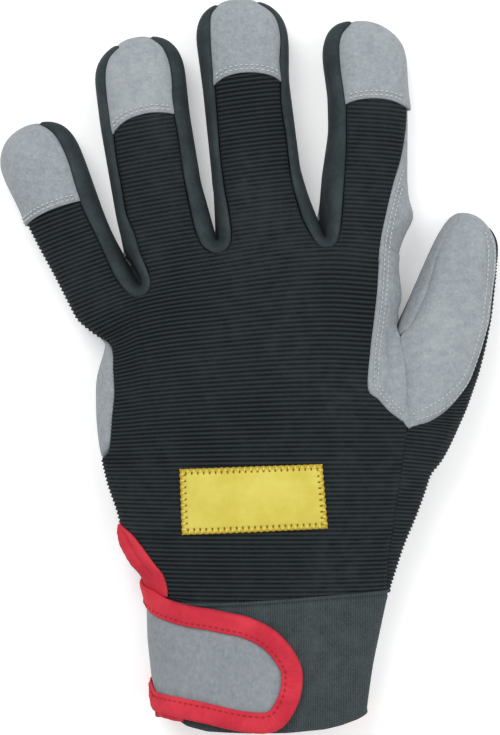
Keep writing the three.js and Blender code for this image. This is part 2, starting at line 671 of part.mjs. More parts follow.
const materials = {
  ribbed: new THREE.MeshStandardMaterial({ color: 0x20272a, roughness: 0.85, metalness: 0 }),
  side: new THREE.MeshStandardMaterial({ color: 0x2f3a3d, roughness: 0.8, metalness: 0 }),
  suede: new THREE.MeshStandardMaterial({ color: 0x949ca1, roughness: 0.95, metalness: 0 }),
  elastic: new THREE.MeshStandardMaterial({ color: 0x2c373a, roughness: 0.8, metalness: 0 }),
  tape: new THREE.MeshStandardMaterial({ color: 0xd43a47, roughness: 0.7, metalness: 0 }),
  hook: new THREE.MeshStandardMaterial({ color: 0x16191a, roughness: 0.9, metalness: 0 }),
  label: new THREE.MeshStandardMaterial({ color: 0xe2d24a, roughness: 0.7, metalness: 0 }),
};

// Assembly

const glove = new THREE.Group();

function addPiece(name, solid, material) {
  const mesh = solid.getMesh();
  const geometry = new THREE.BufferGeometry();
  geometry.setAttribute('position', new THREE.BufferAttribute(new Float32Array(mesh.vertProperties), 3));
  geometry.setIndex(new THREE.BufferAttribute(new Uint32Array(mesh.triVerts), 1));
  geometry.computeVertexNormals();
  const piece = new THREE.Mesh(geometry, material);
  piece.name = name;
  glove.add(piece);
}

addPiece('palm_panel', palmPanel, materials.suede);
addPiece('back_panel', backPanel, materials.ribbed);
addPiece('thumb_back_panel', thumbBackPanel, materials.ribbed);
addPiece('thumb_top_panel', thumbTopPanel, materials.suede);
addPiece('thumb_under_panel', thumbUnderPanel, materials.suede);
fourFingers.forEach((name, i) => addPiece(`tip_cap_${name}`, caps[i], materials.suede));
CROTCHES.forEach((crotch, i) => {
  addPiece(`fourchette_${crotch.left}_${crotch.right}`, crotches[i], materials.side);
});
addPiece('cuff_band', cuffBand, materials.elastic);
addPiece('slit_binding', slitBinding, materials.tape);
addPiece('hem_binding', hemBinding, materials.tape);
addPiece('strap', strap, materials.suede);
addPiece('strap_binding', strapBinding, materials.tape);
addPiece('hook_patch', hookPatch, materials.hook);
addPiece('label', label, materials.label);

// The glove stands centred over its lowest point
const box = new THREE.Box3().setFromObject(glove);
const centre = box.getCenter(new THREE.Vector3());
glove.position.set(-centre.x, -centre.y, -box.min.z);

export default glove;
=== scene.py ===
import math

import bpy
import numpy as np
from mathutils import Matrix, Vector


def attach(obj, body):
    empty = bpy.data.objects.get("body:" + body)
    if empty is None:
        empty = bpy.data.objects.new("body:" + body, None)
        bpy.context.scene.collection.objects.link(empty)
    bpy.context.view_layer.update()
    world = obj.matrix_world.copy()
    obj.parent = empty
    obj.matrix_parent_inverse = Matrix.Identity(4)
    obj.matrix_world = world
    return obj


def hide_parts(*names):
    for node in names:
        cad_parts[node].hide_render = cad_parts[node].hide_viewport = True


# A left-hand assembly glove in its filled form, lying on its palm.
# Forms are worked out in millimetres and turned into metres when a mesh is made.

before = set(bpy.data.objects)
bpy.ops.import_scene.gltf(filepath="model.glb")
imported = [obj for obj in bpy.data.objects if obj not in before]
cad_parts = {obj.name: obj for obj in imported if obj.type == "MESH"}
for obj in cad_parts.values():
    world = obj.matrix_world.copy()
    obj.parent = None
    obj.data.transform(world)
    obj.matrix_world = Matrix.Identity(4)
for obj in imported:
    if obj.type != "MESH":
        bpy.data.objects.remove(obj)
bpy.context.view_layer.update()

MM = 0.001
UNIT = 0.342  # plan drawings are in units of this many millimetres, from the upper left corner
SHEET_CENTRE = np.array([0.2, -0.3])
SHEET_HEIGHT = 12.0  # height at which the drawings have their true size
CAMERA_DROP = 890.4  # from the camera down to that height
RIB = 1.47  # pitch of the ribbed fabric
RIB_HEIGHT = 0.3
RIB_STEPS = 5  # rows of points in each rib
RIBBED_WALL = 1.2
WALL = 1.3  # thickness of suede and fabric
PALM_SEAM = 6.0  # height at which the palm meets the pieces of the back

# Hand and fingers

HAND_START = -123.24
HAND_LENGTH = 153.0
HAND_WIDTH = 106.0
HAND_HEIGHT = 34.0
WIDEST = 0.42  # height of the widest line, as a share of a section's own height
REST_DEPTH = 1.2

# along, left, right, top
HAND_FORM = [
    (-0.2, -0.281, 0.374, 0.87),
    (0.0, -0.281, 0.374, 0.87),
    (0.13, -0.292, 0.4, 0.86),
    (0.29, -0.316, 0.443, 0.88),
    (0.35, -0.352, 0.471, 0.9),
    (0.407, -0.405, 0.497, 0.93),
    (0.474, -0.421, 0.539, 0.97),
    (0.545, -0.458, 0.575, 1.0),
    (0.626, -0.484, 0.59, 1.02),
    (0.704, -0.494, 0.57, 1.03),
    (0.78, -0.495, 0.51, 1.01),
    (0.843, -0.465, 0.48, 0.97),
    (0.91, -0.45, 0.47, 0.93),
    (0.98, -0.42, 0.45, 0.88),
    (1.1, -0.39, 0.42, 0.8),
]
FINGERS = {
    "little": {
        "length": 68.3, "width": 27.5, "height": 21.0, "lean": -20.2, "root": (-48.99, 19.66), "round": 0.78,
        "form": [
            (-0.2, -0.11, 0.4, 1.0), (0.0, -0.39, 0.5, 1.1), (0.24, -0.46, 0.425, 1.07),
            (0.4, -0.52, 0.38, 1.0), (0.72, -0.615, 0.39, 0.96), (0.84, -0.64, 0.385, 0.92),
            (1.0, -0.62, 0.42, 0.88),
        ],
    },
    "ring": {
        "length": 82.6, "width": 30.5, "height": 22.0, "lean": -9.9, "root": (-25.46, 31.14), "round": 0.82,
        "form": [
            (-0.2, -0.46, 0.46, 1.15), (0.0, -0.6, 0.57, 1.2), (0.14, -0.545, 0.525, 1.13),
            (0.3, -0.54, 0.465, 1.05), (0.66, -0.54, 0.475, 0.98), (0.82, -0.52, 0.505, 0.93),
            (0.91, -0.51, 0.52, 0.92), (1.0, -0.46, 0.56, 0.9),
        ],
    },
    "middle": {
        "length": 86.6, "width": 30.5, "height": 22.5, "lean": -7.0, "root": (7.51, 39.86), "round": 0.83,
        "form": [
            (-0.25, -0.47, 0.45, 1.2), (0.0, -0.67, 0.6, 1.22), (0.11, -0.62, 0.54, 1.15),
            (0.3, -0.565, 0.435, 1.05), (0.66, -0.545, 0.43, 0.98), (0.82, -0.55, 0.485, 0.93),
            (0.91, -0.56, 0.475, 0.92), (1.0, -0.6, 0.44, 0.9),
        ],
    },
    "index": {
        "length": 77.1, "width": 30.0, "height": 22.5, "lean": 3.1, "root": (35.81, 41.24), "round": 0.81,
        "form": [
            (-0.35, -0.44, 0.47, 1.15), (0.0, -0.53, 0.52, 1.2), (0.12, -0.455, 0.625, 1.14),
            (0.3, -0.41, 0.57, 1.05), (0.5, -0.363, 0.545, 1.0), (0.66, -0.395, 0.53, 0.97),
            (0.82, -0.475, 0.485, 0.93), (0.91, -0.505, 0.46, 0.92), (1.0, -0.57, 0.39, 0.9),
        ],
    },
    "thumb": {
        "length": 65.7, "width": 27.5, "height": 24.0, "lean": 13.6, "root": (60.09, -11.4), "round": 0.72,
        "form": [
            (-0.4, -0.35, 0.3, 1.1), (-0.2, -0.45, 0.43, 1.17), (0.0, -0.58, 0.52, 1.18),
            (0.2, -0.62, 0.57, 1.12), (0.35, -0.56, 0.575, 1.07), (0.5, -0.487, 0.56, 1.0),
            (0.8, -0.36, 0.47, 0.89), (0.9, -0.35, 0.465, 0.86), (1.0, -0.385, 0.36, 0.82),
        ],
    },
}
BLEND = 1.5  # how softly two neighbouring forms run into each other


def dense(rows, soften):
    """A table of sections as smooth columns at many stations."""
    table = np.array(rows, float)
    stations = np.linspace(table[0, 0], table[-1, 0], 400)
    width = max(1, int(soften / (stations[1] - stations[0])))
    kernel = np.hanning(2 * width + 3)[1:-1]
    kernel /= kernel.sum()
    columns = [stations]
    for column in range(1, table.shape[1]):
        line = np.interp(stations, table[:, 0], table[:, column])
        padded = np.pad(line, width, mode="edge")
        columns.append(np.convolve(padded, kernel, mode="same")[width:-width])
    return np.array(columns)


HAND_TABLE = dense(HAND_FORM, 0.04)
for finger in FINGERS.values():
    finger["table"] = dense(finger["form"], 0.05)
    turn = math.radians(finger["lean"])
    finger["ahead"] = np.array([math.sin(turn), math.cos(turn)])
    finger["side"] = np.array([math.cos(turn), -math.sin(turn)])
    finger["root"] = np.array(finger["root"])


def section_distance(aside, up, past, half, rise, drop, reach):
    """Rough distance to a rounded section, positive outside."""
    above = up >= 0
    power = np.where(above, 2.4, 3.0)
    height = np.where(above, rise, drop)
    u = np.abs(aside) / half
    w = np.abs(up) / height
    v = np.maximum(past, 0) / reach
    level = np.maximum((u**2.4 + v**2.4) ** (1 / 2.4), 1e-4)
    size = np.maximum((level**power + w**power) ** (1 / power), 1e-4)
    across = (level / size) ** (power - 1)
    slope_u = across * (u / level) ** 1.4 / half
    slope_v = across * (v / level) ** 1.4 / reach
    slope_w = (w / size) ** (power - 1) / height
    slope = np.sqrt(slope_u**2 + slope_v**2 + slope_w**2)
    return (size - 1) / np.maximum(slope, 0.01)


def hand_distance(p):
    """Rough distance to the form of the hand without its fingers."""
    x, y, z = p[..., 0], p[..., 1], p[..., 2]
    along = (y - HAND_START) / HAND_LENGTH
    for _ in range(3):
        bow = 5.5 * (1 - np.clip(along / 0.275, 0, 1)) * (x / 53) ** 2
        slope = 0.13 * x * np.maximum(0, (along - 0.84) / 0.16)
        along = (y - bow - slope - HAND_START) / HAND_LENGTH
    left = np.interp(along, HAND_TABLE[0], HAND_TABLE[1]) * HAND_WIDTH
    right = np.interp(along, HAND_TABLE[0], HAND_TABLE[2]) * HAND_WIDTH
    top = np.interp(along, HAND_TABLE[0], HAND_TABLE[3]) * HAND_HEIGHT
    widest = WIDEST * top
    past = (along - 0.95) * HAND_LENGTH
    return section_distance(
        x - (left + right) / 2, z - widest, past, (right - left) / 2, top - widest, widest + REST_DEPTH, 22.0
    )


def finger_distance(finger, p):
    """Rough distance to the form of one finger."""
    x = p[..., 0] - finger["root"][0]
    y = p[..., 1] - finger["root"][1]
    along = (x * finger["ahead"][0] + y * finger["ahead"][1]) / finger["length"]
    aside = x * finger["side"][0] + y * finger["side"][1]
    table = finger["table"]
    left = np.interp(along, table[0], table[1]) * finger["width"]
    right = np.interp(along, table[0], table[2]) * finger["width"]
    top = np.interp(along, table[0], table[3]) * finger["height"]
    widest = WIDEST * top
    tip = (along - finger["round"]) / (1 - finger["round"])
    heel = (table[0][0] + 0.15 - along) / 0.15
    past = np.maximum(tip, heel) * 10.0
    return section_distance(
        aside - (left + right) / 2, p[..., 2] - widest, past, (right - left) / 2,
        top - widest, widest + REST_DEPTH, 10.0
    )


def skin_distance(p, forms=None):
    """Rough distance to the outer skin of the whole glove, or of some of its forms; positive outside."""
    total = 0
    for name in forms or ("hand", *FINGERS):
        gap = hand_distance(p) if name == "hand" else finger_distance(FINGERS[name], p)
        total = total + np.exp(-np.clip(gap, -60, 60) / BLEND)
    return -BLEND * np.log(total)


def skin_normal(p):
    step = 0.25
    parts = []
    for axis in range(3):
        shift = np.zeros(3)
        shift[axis] = step
        parts.append(skin_distance(p + shift) - skin_distance(p - shift))
    normal = np.stack(parts, axis=-1)
    return normal / np.maximum(np.linalg.norm(normal, axis=-1, keepdims=True), 1e-6)


def drop_on(plan_points, level=0.0, forms=None):
    """Sets plan points down on the back of the glove, or on a surface at a level above it."""
    p = np.concatenate([plan_points, np.full(plan_points.shape[:-1] + (1,), 42.0)], axis=-1)
    for _ in range(40):
        gap = skin_distance(p, forms) - level
        p[..., 2] = np.clip(p[..., 2] - 0.75 * np.clip(gap, -6, 6), PALM_SEAM, 45)
    return p


def shoot(origin, direction, level=0.0, forms=None):
    """Follows rays from inside the glove to its skin."""
    direction = unit(direction)
    reach = np.full(direction.shape[:-1] + (1,), 2.5)
    for _ in range(45):
        p = origin + direction * reach
        gap = skin_distance(p, forms) - level
        reach = np.clip(reach - 0.8 * np.clip(gap, -12, 4)[..., None], 0.5, 120)
    p = origin + direction * reach
    low = (p[..., 2] < 0) & (direction[..., 2] < 0)
    floor = -origin[..., 2] / np.where(direction[..., 2] < 0, direction[..., 2], -1)
    return np.where(low[..., None], origin + direction * floor[..., None], p)


# Curves and grids of points


def draw(points):
    """Plan points in millimetres from a drawing in units, as seen from the camera at their height."""
    p = np.array(points, float)
    flat = np.column_stack([(p[:, 0] - 250) * UNIT, (367.5 - p[:, 1]) * UNIT])
    height = np.maximum(drop_on(flat + SHEET_CENTRE)[:, 2], SHEET_HEIGHT)
    return flat * (1 - (height - SHEET_HEIGHT) / CAMERA_DROP)[:, None] + SHEET_CENTRE


def lengths(points):
    return np.concatenate([[0], np.cumsum(np.linalg.norm(np.diff(points, axis=0), axis=1))])


def run_across(grid):
    """Distances along each row of a grid from its left edge."""
    return np.cumsum(np.pad(np.linalg.norm(np.diff(grid, axis=1), axis=2), ((0, 0), (1, 0))), axis=1)


def run_along(grid):
    """Distances along each column of a grid from its first row."""
    return np.cumsum(np.pad(np.linalg.norm(np.diff(grid, axis=0), axis=2), ((1, 0), (0, 0))), axis=0)


def points_at(at, run, line):
    """Points of a line at the given values of a measure that grows along it."""
    return np.column_stack([np.interp(at, run, line[:, k]) for k in range(line.shape[1])])


def unit(vectors):
    return vectors / np.linalg.norm(vectors, axis=-1, keepdims=True)


def rightward(line):
    """The direction to the right of a plan line, at each of its points."""
    ahead = unit(np.gradient(line, axis=0))
    return np.column_stack([ahead[:, 1], -ahead[:, 0]])


def evened(values, weights=(1, 2, 3, 2, 1), mode="edge", **more):
    """A row of numbers, each averaged with its neighbours."""
    weights = np.array(weights, float) / np.sum(weights)
    return np.convolve(np.pad(values, len(weights) // 2, mode=mode, **more), weights, mode="valid")


def smooth_line(points, count):
    """A smooth curve through the points, at even distances."""
    p = np.asarray(points, float)
    p = np.vstack([2 * p[0] - p[1], p, 2 * p[-1] - p[-2]])
    pieces = []
    t = np.linspace(0, 1, 16, endpoint=False)[:, None]
    for a, b, c, d in zip(p[:-3], p[1:-2], p[2:-1], p[3:]):
        bend = (2 * a - 5 * b + 4 * c - d) * t**2 + (3 * b - a - 3 * c + d) * t**3
        pieces.append(0.5 * (2 * b + (c - a) * t + bend))
    line = np.vstack(pieces + [p[-2][None]])
    run = lengths(line)
    return points_at(np.linspace(0, run[-1], count), run, line)


def even_rows(grid, start, end, stops):
    """Takes each row of a grid from one length to another, at the given shares."""
    rows = []
    for line, low, high in zip(grid, start, end):
        run = lengths(line)
        rows.append(points_at(low + (high - low) * stops, run, line))
    return np.array(rows)


def seam_stops(width, pitch):
    """Shares across a piece, closer together at its two seams."""
    edge = np.array([0.0, 0.35, 0.8, 1.5])
    count = max(3, int((width - 4) / pitch))
    middle = np.linspace(2.4, width - 2.4, count)
    return np.concatenate([edge, middle, (width - edge)[::-1]]) / width


# Meshes


def weld(points, faces):
    """Joins points that lie on each other and leaves out faces without area."""
    keys = np.round(points / 2e-3).astype(np.int64)
    _, first, where = np.unique(keys, axis=0, return_index=True, return_inverse=True)
    where = where.reshape(-1)
    kept = []
    seen = set()
    for face in faces:
        loop = []
        for corner in where[list(face)]:
            if not loop or loop[-1] != corner:
                loop.append(int(corner))
        if len(loop) > 1 and loop[0] == loop[-1]:
            loop.pop()
        if len(set(loop)) == len(loop) >= 3:
            key = tuple(sorted(loop))
            if key not in seen:
                seen.add(key)
                kept.append(tuple(loop))
    return points[first], kept, first


def grid_faces(rows, columns, start=0, flip=False):
    index = np.arange(rows * columns).reshape(rows, columns) + start
    quads = np.stack([index[:-1, :-1], index[:-1, 1:], index[1:, 1:], index[1:, :-1]], axis=-1).reshape(-1, 4)
    return quads[:, ::-1] if flip else quads


def zip_lines(a, b):
    """Triangles between two lines of points that run side by side."""
    faces = []
    i = j = 0
    while i < len(a) - 1 or j < len(b) - 1:
        next_a = (i + 1) / (len(a) - 1) if i < len(a) - 1 else 9
        next_b = (j + 1) / (len(b) - 1) if j < len(b) - 1 else 9
        if next_a <= next_b:
            faces.append((a[i], a[i + 1], b[j]))
            i += 1
        else:
            faces.append((a[i], b[j + 1], b[j]))
            j += 1
    return faces


def grid_normals(grid):
    """Normals of a grid from its own points."""
    along = np.gradient(grid, axis=0)
    across = np.gradient(grid, axis=1)
    normal = np.cross(across, along)
    size = np.linalg.norm(normal, axis=-1, keepdims=True)
    return np.where(size > 1e-9, normal / np.maximum(size, 1e-9), 0)


def walled(outer, normals, wall=WALL, row_step=1, column_step=1, joined=(0, 0), floor=0.9):
    """A closed piece from a grid: its face, an inner side one wall lower, and the rim.
    joined gives how many rows run on into the next grid on the left and the right."""
    rows, columns = outer.shape[:2]
    row_at = np.unique(np.append(np.arange(0, rows, row_step), rows - 1))
    column_at = np.unique(np.append(np.arange(0, columns, column_step), columns - 1))
    inner = (outer - normals * wall)[row_at][:, column_at]
    inner[..., 2] = np.maximum(inner[..., 2], np.minimum(outer[row_at][:, column_at][..., 2], floor))
    points = np.vstack([outer.reshape(-1, 3), inner.reshape(-1, 3)])
    shift = rows * columns
    faces = [tuple(f) for f in grid_faces(rows, columns)]
    faces += [tuple(f) for f in grid_faces(len(row_at), len(column_at), shift, flip=True)]
    outside = np.arange(rows * columns).reshape(rows, columns)
    inside = np.arange(len(row_at) * len(column_at)).reshape(len(row_at), len(column_at)) + shift
    left, right = (int(round(count / row_step)) for count in joined)
    lines = [
        (outside[0], inside[0]),
        (outside[row_at[min(right, len(row_at) - 1)]:, -1], inside[right:, -1]),
        (outside[-1][::-1], inside[-1][::-1]),
        (outside[row_at[min(left, len(row_at) - 1)]:, 0][::-1], inside[left:, 0][::-1]),
    ]
    for face_line, inner_line in lines:
        if len(face_line) > 1 and len(inner_line) > 1:
            faces += [tuple(reversed(f)) for f in zip_lines(list(face_line), list(inner_line))]
    return points, faces


def collect(parts):
    """Several point and face lists as one."""
    points = []
    faces = []
    count = 0
    for p, f in parts:
        points.append(p)
        faces += [tuple(int(i) + count for i in face) for face in f]
        count += len(p)
    return np.vstack(points), faces


def make_piece(name, parts, material, node=None, chart=None):
    """One Blender piece on the glove's only body."""
    points, faces = collect(parts)
    points, faces, first = weld(points, faces)
    mesh = bpy.data.meshes.new(name)
    mesh.from_pydata((points * MM).tolist(), [], faces)
    if chart is not None:
        layer = mesh.uv_layers.new(name="cloth")
        corners = np.zeros(len(mesh.loops), np.int32)
        mesh.loops.foreach_get("vertex_index", corners)
        layer.data.foreach_set("uv", chart[first][corners].astype(np.float32).ravel())
    mesh.materials.append(material)
    mesh.validate()
    mesh.shade_smooth()
    piece = bpy.data.objects.new(name, mesh)
    bpy.context.scene.collection.objects.link(piece)
    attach(piece, "root")
    if node:
        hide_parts(node)


# Seams, drawn in plan. Drawings are read in units; their points run along each seam in turn.

LITTLE_SIDE = [(167.5, 597), (166, 584), (160, 573), (150, 560), (140, 547), (130, 534), (121, 523),
               (113, 503),
               (108, 480), (101.5, 452), (98, 416), (95, 390), (98, 366), (104, 350), (92, 336), (73, 310),
               (50, 265), (33, 235), (22, 209), (13, 194), (5, 176), (-2, 155)]
# How far inside the outline the ribbed fabric ends along the little finger's side of the hand.
# Below nought it wraps down, and at minus WRAPPED_WHOLE it reaches the palm seam.
WRAPPED_WHOLE = 3.5
SIDE_START = -53.6
SIDE_INSET = [(SIDE_START, 0.0), (-51, -3.5), (-46, -3.5), (-43, 0.0), (-39, 2.2), (-32, 3.2), (-26, 3.9),
              (-21, 4.7),
              (-16, 5.6), (-10.5, 6.5), (-5.5, 6.3), (-1.5, 5.2), (2.5, 3.9), (6, 2.6), (8.5, 1.0),
              (11, -2.0), (14, -3.5),
              (80, -3.5)]
TONGUES = [
    {"left": [(67, 165), (74, 184), (80, 201), (88, 219), (98, 239), (107, 259), (116, 278), (126, 291),
              (134, 297)],
     "right": [(134, 297), (144, 295), (150, 285), (148, 271), (141, 256), (133, 232), (126, 214), (121, 187),
               (116, 159), (113, 134), (109.5, 110)],
     "end": (134, 297), "gap": (123, 254), "slit": (140, 284), "foot": -19.0, "open": 1.8},
    {"left": [(170, 88), (174, 114), (178, 133), (182, 162), (186, 187), (191, 212), (196, 231),
              (204, 247), (217, 254)],
     "right": [(217, 254), (228, 247), (231, 233), (228, 208), (224, 188), (220, 159), (217, 122),
               (214.5, 86), (213.5, 60)],
     "end": (217, 254), "gap": (213.5, 229), "slit": (218, 239), "foot": -6.3, "open": 0.7},
    {"left": [(279, 58), (281, 82), (282, 106), (287, 139), (291, 173), (296, 196), (302, 216),
              (311, 234), (319, 245), (327, 248)],
     "right": [(327, 248), (336, 243), (340, 230), (342, 214), (344, 184), (346, 143), (346, 104.5),
               (346, 82)],
     "end": (327, 248), "gap": (316, 216), "slit": (326.5, 236), "foot": 21.9, "open": 0.45},
]
INDEX_SIDE = [(387.5, 591), (389, 560), (395, 520), (401, 480), (406, 440), (406.5, 424), (400, 419),
              (392, 413),
              (385, 406), (379, 399), (368.5, 388), (371, 350), (375, 318), (378, 290), (381, 243),
              (386, 216),
              (394, 184), (402, 159), (405.5, 141), (408, 124), (408.5, 108), (408, 84)]
CAP_EDGES = [
    [(10, 236), (29, 223), (40, 215), (53, 209), (66, 204.5), (80, 201)],
    [(113, 134.5), (119, 126), (129, 119), (143, 114), (157, 112.3), (174, 114)],
    [(214, 85.5), (225, 77), (241, 72.8), (258, 72.8), (272, 76), (281, 82)],
    [(346, 104.5), (353, 101), (362, 99), (376, 98.3), (392, 100.5), (406, 108.5)],
]
CUFF_TOP = [(160, 601), (199, 604.5), (245, 603), (300, 599), (345, 595), (388, 590), (410, 588)]
# The wrist edge of the elastic, in millimetres
CUFF_FOOT = [(-40, -112), (-31, -115), (-26, -118), (-21, -121), (-14, -122.6), (0, -123), (12, -122.9),
             (25, -121.9), (31, -120.8),
             (36.5, -119.2), (39.9, -117.8), (42, -116.4)]
NAMES = ["little", "ring", "middle", "index"]


def phase_of(finger, points, tongue_point, tongue_phase):
    """Rib height of plan points on a finger, counted from the end of the tongue beside it."""
    ahead = FINGERS[finger]["ahead"]
    return tongue_phase + (points - tongue_point) @ ahead


# Height of each rib along the seams: the ribs lie straight across the hand and turn with each finger
ends = [draw([tongue["end"]])[0] for tongue in TONGUES]
phase_ring_middle = ends[1][1]
phase_little_ring = phase_ring_middle - (ends[1] - ends[0]) @ FINGERS["ring"]["ahead"]
phase_middle_index = phase_ring_middle + (ends[2] - ends[1]) @ FINGERS["middle"]["ahead"]
END_PHASES = [phase_little_ring, phase_ring_middle, phase_middle_index]
TURN_START = -48.0


def hand_phase(y, end_y, end_phase):
    """Rib height along a seam of the hand that reaches end_y with end_phase."""
    share = np.clip((y - TURN_START) / (end_y - TURN_START), 0, 1)
    return y + (end_phase - end_y) * share**1.6


def seam_by_phase(points, phases, at):
    """Plan points of a seam at the given rib heights."""
    order = np.maximum.accumulate(phases + np.arange(len(phases)) * 1e-7)
    return points_at(at, order, points)


def seam_tables():
    """For each seam of the back: its plan points and their rib heights, seen from the left and the right."""
    tables = []
    side = smooth_line(draw(LITTLE_SIDE), 500)
    little_end = draw([(105, 342)])[0]
    end_phase = phase_of("little", little_end, ends[0], END_PHASES[0])
    on_finger = side[:, 1] > little_end[1]
    phases = np.where(on_finger, phase_of("little", side, ends[0], END_PHASES[0]),
                      hand_phase(side[:, 1], little_end[1], end_phase))
    tables.append((None, (side, phases)))
    for k, tongue in enumerate(TONGUES):
        end = ends[k]
        low = np.column_stack([np.linspace(tongue["foot"], end[0], 120),
                               np.linspace(-84, end[1], 120)])
        low_phases = hand_phase(low[:, 1], end[1], END_PHASES[k])
        left = smooth_line(draw(tongue["left"])[::-1], 220)
        right = smooth_line(draw(tongue["right"]), 220)
        left_phases = phase_of(NAMES[k], left, end, END_PHASES[k])
        right_phases = phase_of(NAMES[k + 1], right, end, END_PHASES[k])
        tables.append(((np.vstack([low, left[1:]]), np.append(low_phases, left_phases[1:])),
                       (np.vstack([low, right[1:]]), np.append(low_phases, right_phases[1:]))))
    side = smooth_line(draw(INDEX_SIDE), 500)
    turn = draw([(381, 243)])[0]
    end_phase = phase_of("index", turn, ends[2], END_PHASES[2])
    phases = np.where(side[:, 1] > turn[1], phase_of("index", side, ends[2], END_PHASES[2]),
                      hand_phase(side[:, 1], turn[1], end_phase))
    tables.append(((side, phases), None))
    return tables


SEAMS = seam_tables()


def edge_phase(k, edge, across, lap=0.0):
    """Rib height of an edge drawn across column k, at each share across."""
    line = smooth_line(draw(edge), 200)
    left_points, left_phases = SEAMS[k][1]
    right_points, right_phases = SEAMS[k + 1][0]
    grid = np.linspace(-85, 130, 1800)
    left = seam_by_phase(left_points, left_phases, grid)
    right = seam_by_phase(right_points, right_phases, grid)
    result = []
    for share in across:
        column = left + (right - left) * share
        gap = np.linalg.norm(column[:, None] - line[None], axis=2).min(axis=1)
        result.append(grid[np.argmin(gap)] + lap)
    return evened(result, mode="reflect", reflect_type="odd")


def back_plan(k, across, phase, bow_only=False):
    """Plan points of column k of the back, at shares across it and rib heights."""
    flat = phase.ravel()
    left = seam_by_phase(*SEAMS[k][1], flat).reshape(phase.shape + (2,))
    right = seam_by_phase(*SEAMS[k + 1][0], flat).reshape(phase.shape + (2,))
    chord = right - left
    slope = chord[..., 1] / np.maximum(chord[..., 0], 1)
    bend_left = np.zeros_like(phase)
    bend_right = np.zeros_like(phase)
    for side, bend in ((k, "left"), (k + 1, "right")):
        if side in (0, 4):
            continue
        other = k - 1 if bend == "left" else k + 1
        a = seam_by_phase(*SEAMS[other][1], flat).reshape(phase.shape + (2,))
        b = seam_by_phase(*SEAMS[other + 1][0], flat).reshape(phase.shape + (2,))
        neighbour = (b - a)[..., 1] / np.maximum((b - a)[..., 0], 1)
        past = np.maximum(0, phase - END_PHASES[side - 1])
        change = (np.clip((slope + neighbour) / 2, -0.5, 0.5) - slope) * np.exp(-past / 5)
        if bend == "left":
            bend_left = change
        else:
            bend_right = change
    width = chord[..., 0]
    bow = width * (bend_left * across * (1 - across) ** 2 - bend_right * across**2 * (1 - across))
    if bow_only:
        return bow
    point = left + chord * across[..., None]
    point[..., 1] += bow
    return point


def side_wrap(plan_left, plan_right):
    """Rows from the palm seam up round the little finger's side and over to the first seam."""
    toward = plan_right - plan_left
    width = np.linalg.norm(toward, axis=1, keepdims=True)
    toward = toward / width
    centre = plan_left + toward * np.minimum(10.5, 0.6 * width)
    origin = np.concatenate([centre, np.full((len(centre), 1), 9.0)], axis=1)
    angles = np.radians(np.concatenate([[-24, -16], np.linspace(-8, 90, 13)]))
    rays = np.zeros((len(centre), len(angles), 3))
    rays[..., :2] = -toward[:, None] * np.cos(angles)[None, :, None]
    rays[..., 2] = np.sin(angles)
    forms = ("hand", "little")
    wall = shoot(origin[:, None], rays, forms=forms)
    outline = ((wall[:, 4, :2] - plan_left) * toward).sum(axis=1)
    shares = np.linspace(0, 1, 26)[1:]
    over = centre[:, None] + (plan_right - centre)[:, None] * shares[None, :, None]
    top = drop_on(over)
    line = np.concatenate([wall, top], axis=1)
    inset = np.maximum.accumulate(((line[..., :2] - plan_left[:, None]) * toward[:, None]).sum(axis=2)
                                  - outline[:, None], axis=1)
    wanted = np.interp(plan_left[:, 1], *np.array(SIDE_INSET).T)
    wanted = np.where(plan_left[:, 1] < SIDE_START, -outline, wanted)
    starts = []
    ends_at = []
    for points, inward, want in zip(line, inset, wanted):
        run = lengths(points)
        growing = inward + np.arange(len(run)) * 1e-6
        seam = np.interp(PALM_SEAM, points[:6, 2], run[:6])
        edge = np.interp(0.05, growing, run)
        if want > 0:
            start = max(np.interp(want, growing, run), seam)
        else:
            start = seam + (edge - seam) * (1 + want / WRAPPED_WHOLE)
        starts.append(start)
        ends_at.append(run[-1])
    return line, evened(starts, np.hanning(9)[1:-1]), np.array(ends_at)


def tuck(distance, depth=0.55, reach=0.7):
    """How far a sewn edge is drawn in at a distance from its seam."""
    return -depth * np.exp(-((np.maximum(distance, 0) / reach) ** 2))


def ribbed_face(grid, normals, phase, edge):
    """The ribs on a grid, which die away and draw in towards a sewn edge at the given distances."""
    calm = 1 - np.exp(-((np.maximum(edge, 0) / 0.5) ** 2))
    lift = RIB_HEIGHT * np.cos(2 * np.pi * phase / RIB) * calm + tuck(edge)
    return grid + normals * lift[..., None]


def chart_of(points, first, second):
    """Cloth measures for the points of a walled piece: those of its face, and nought inside."""
    chart = np.zeros((len(points), 2))
    chart[:first.size] = np.column_stack([first.ravel(), second.ravel()])
    return chart


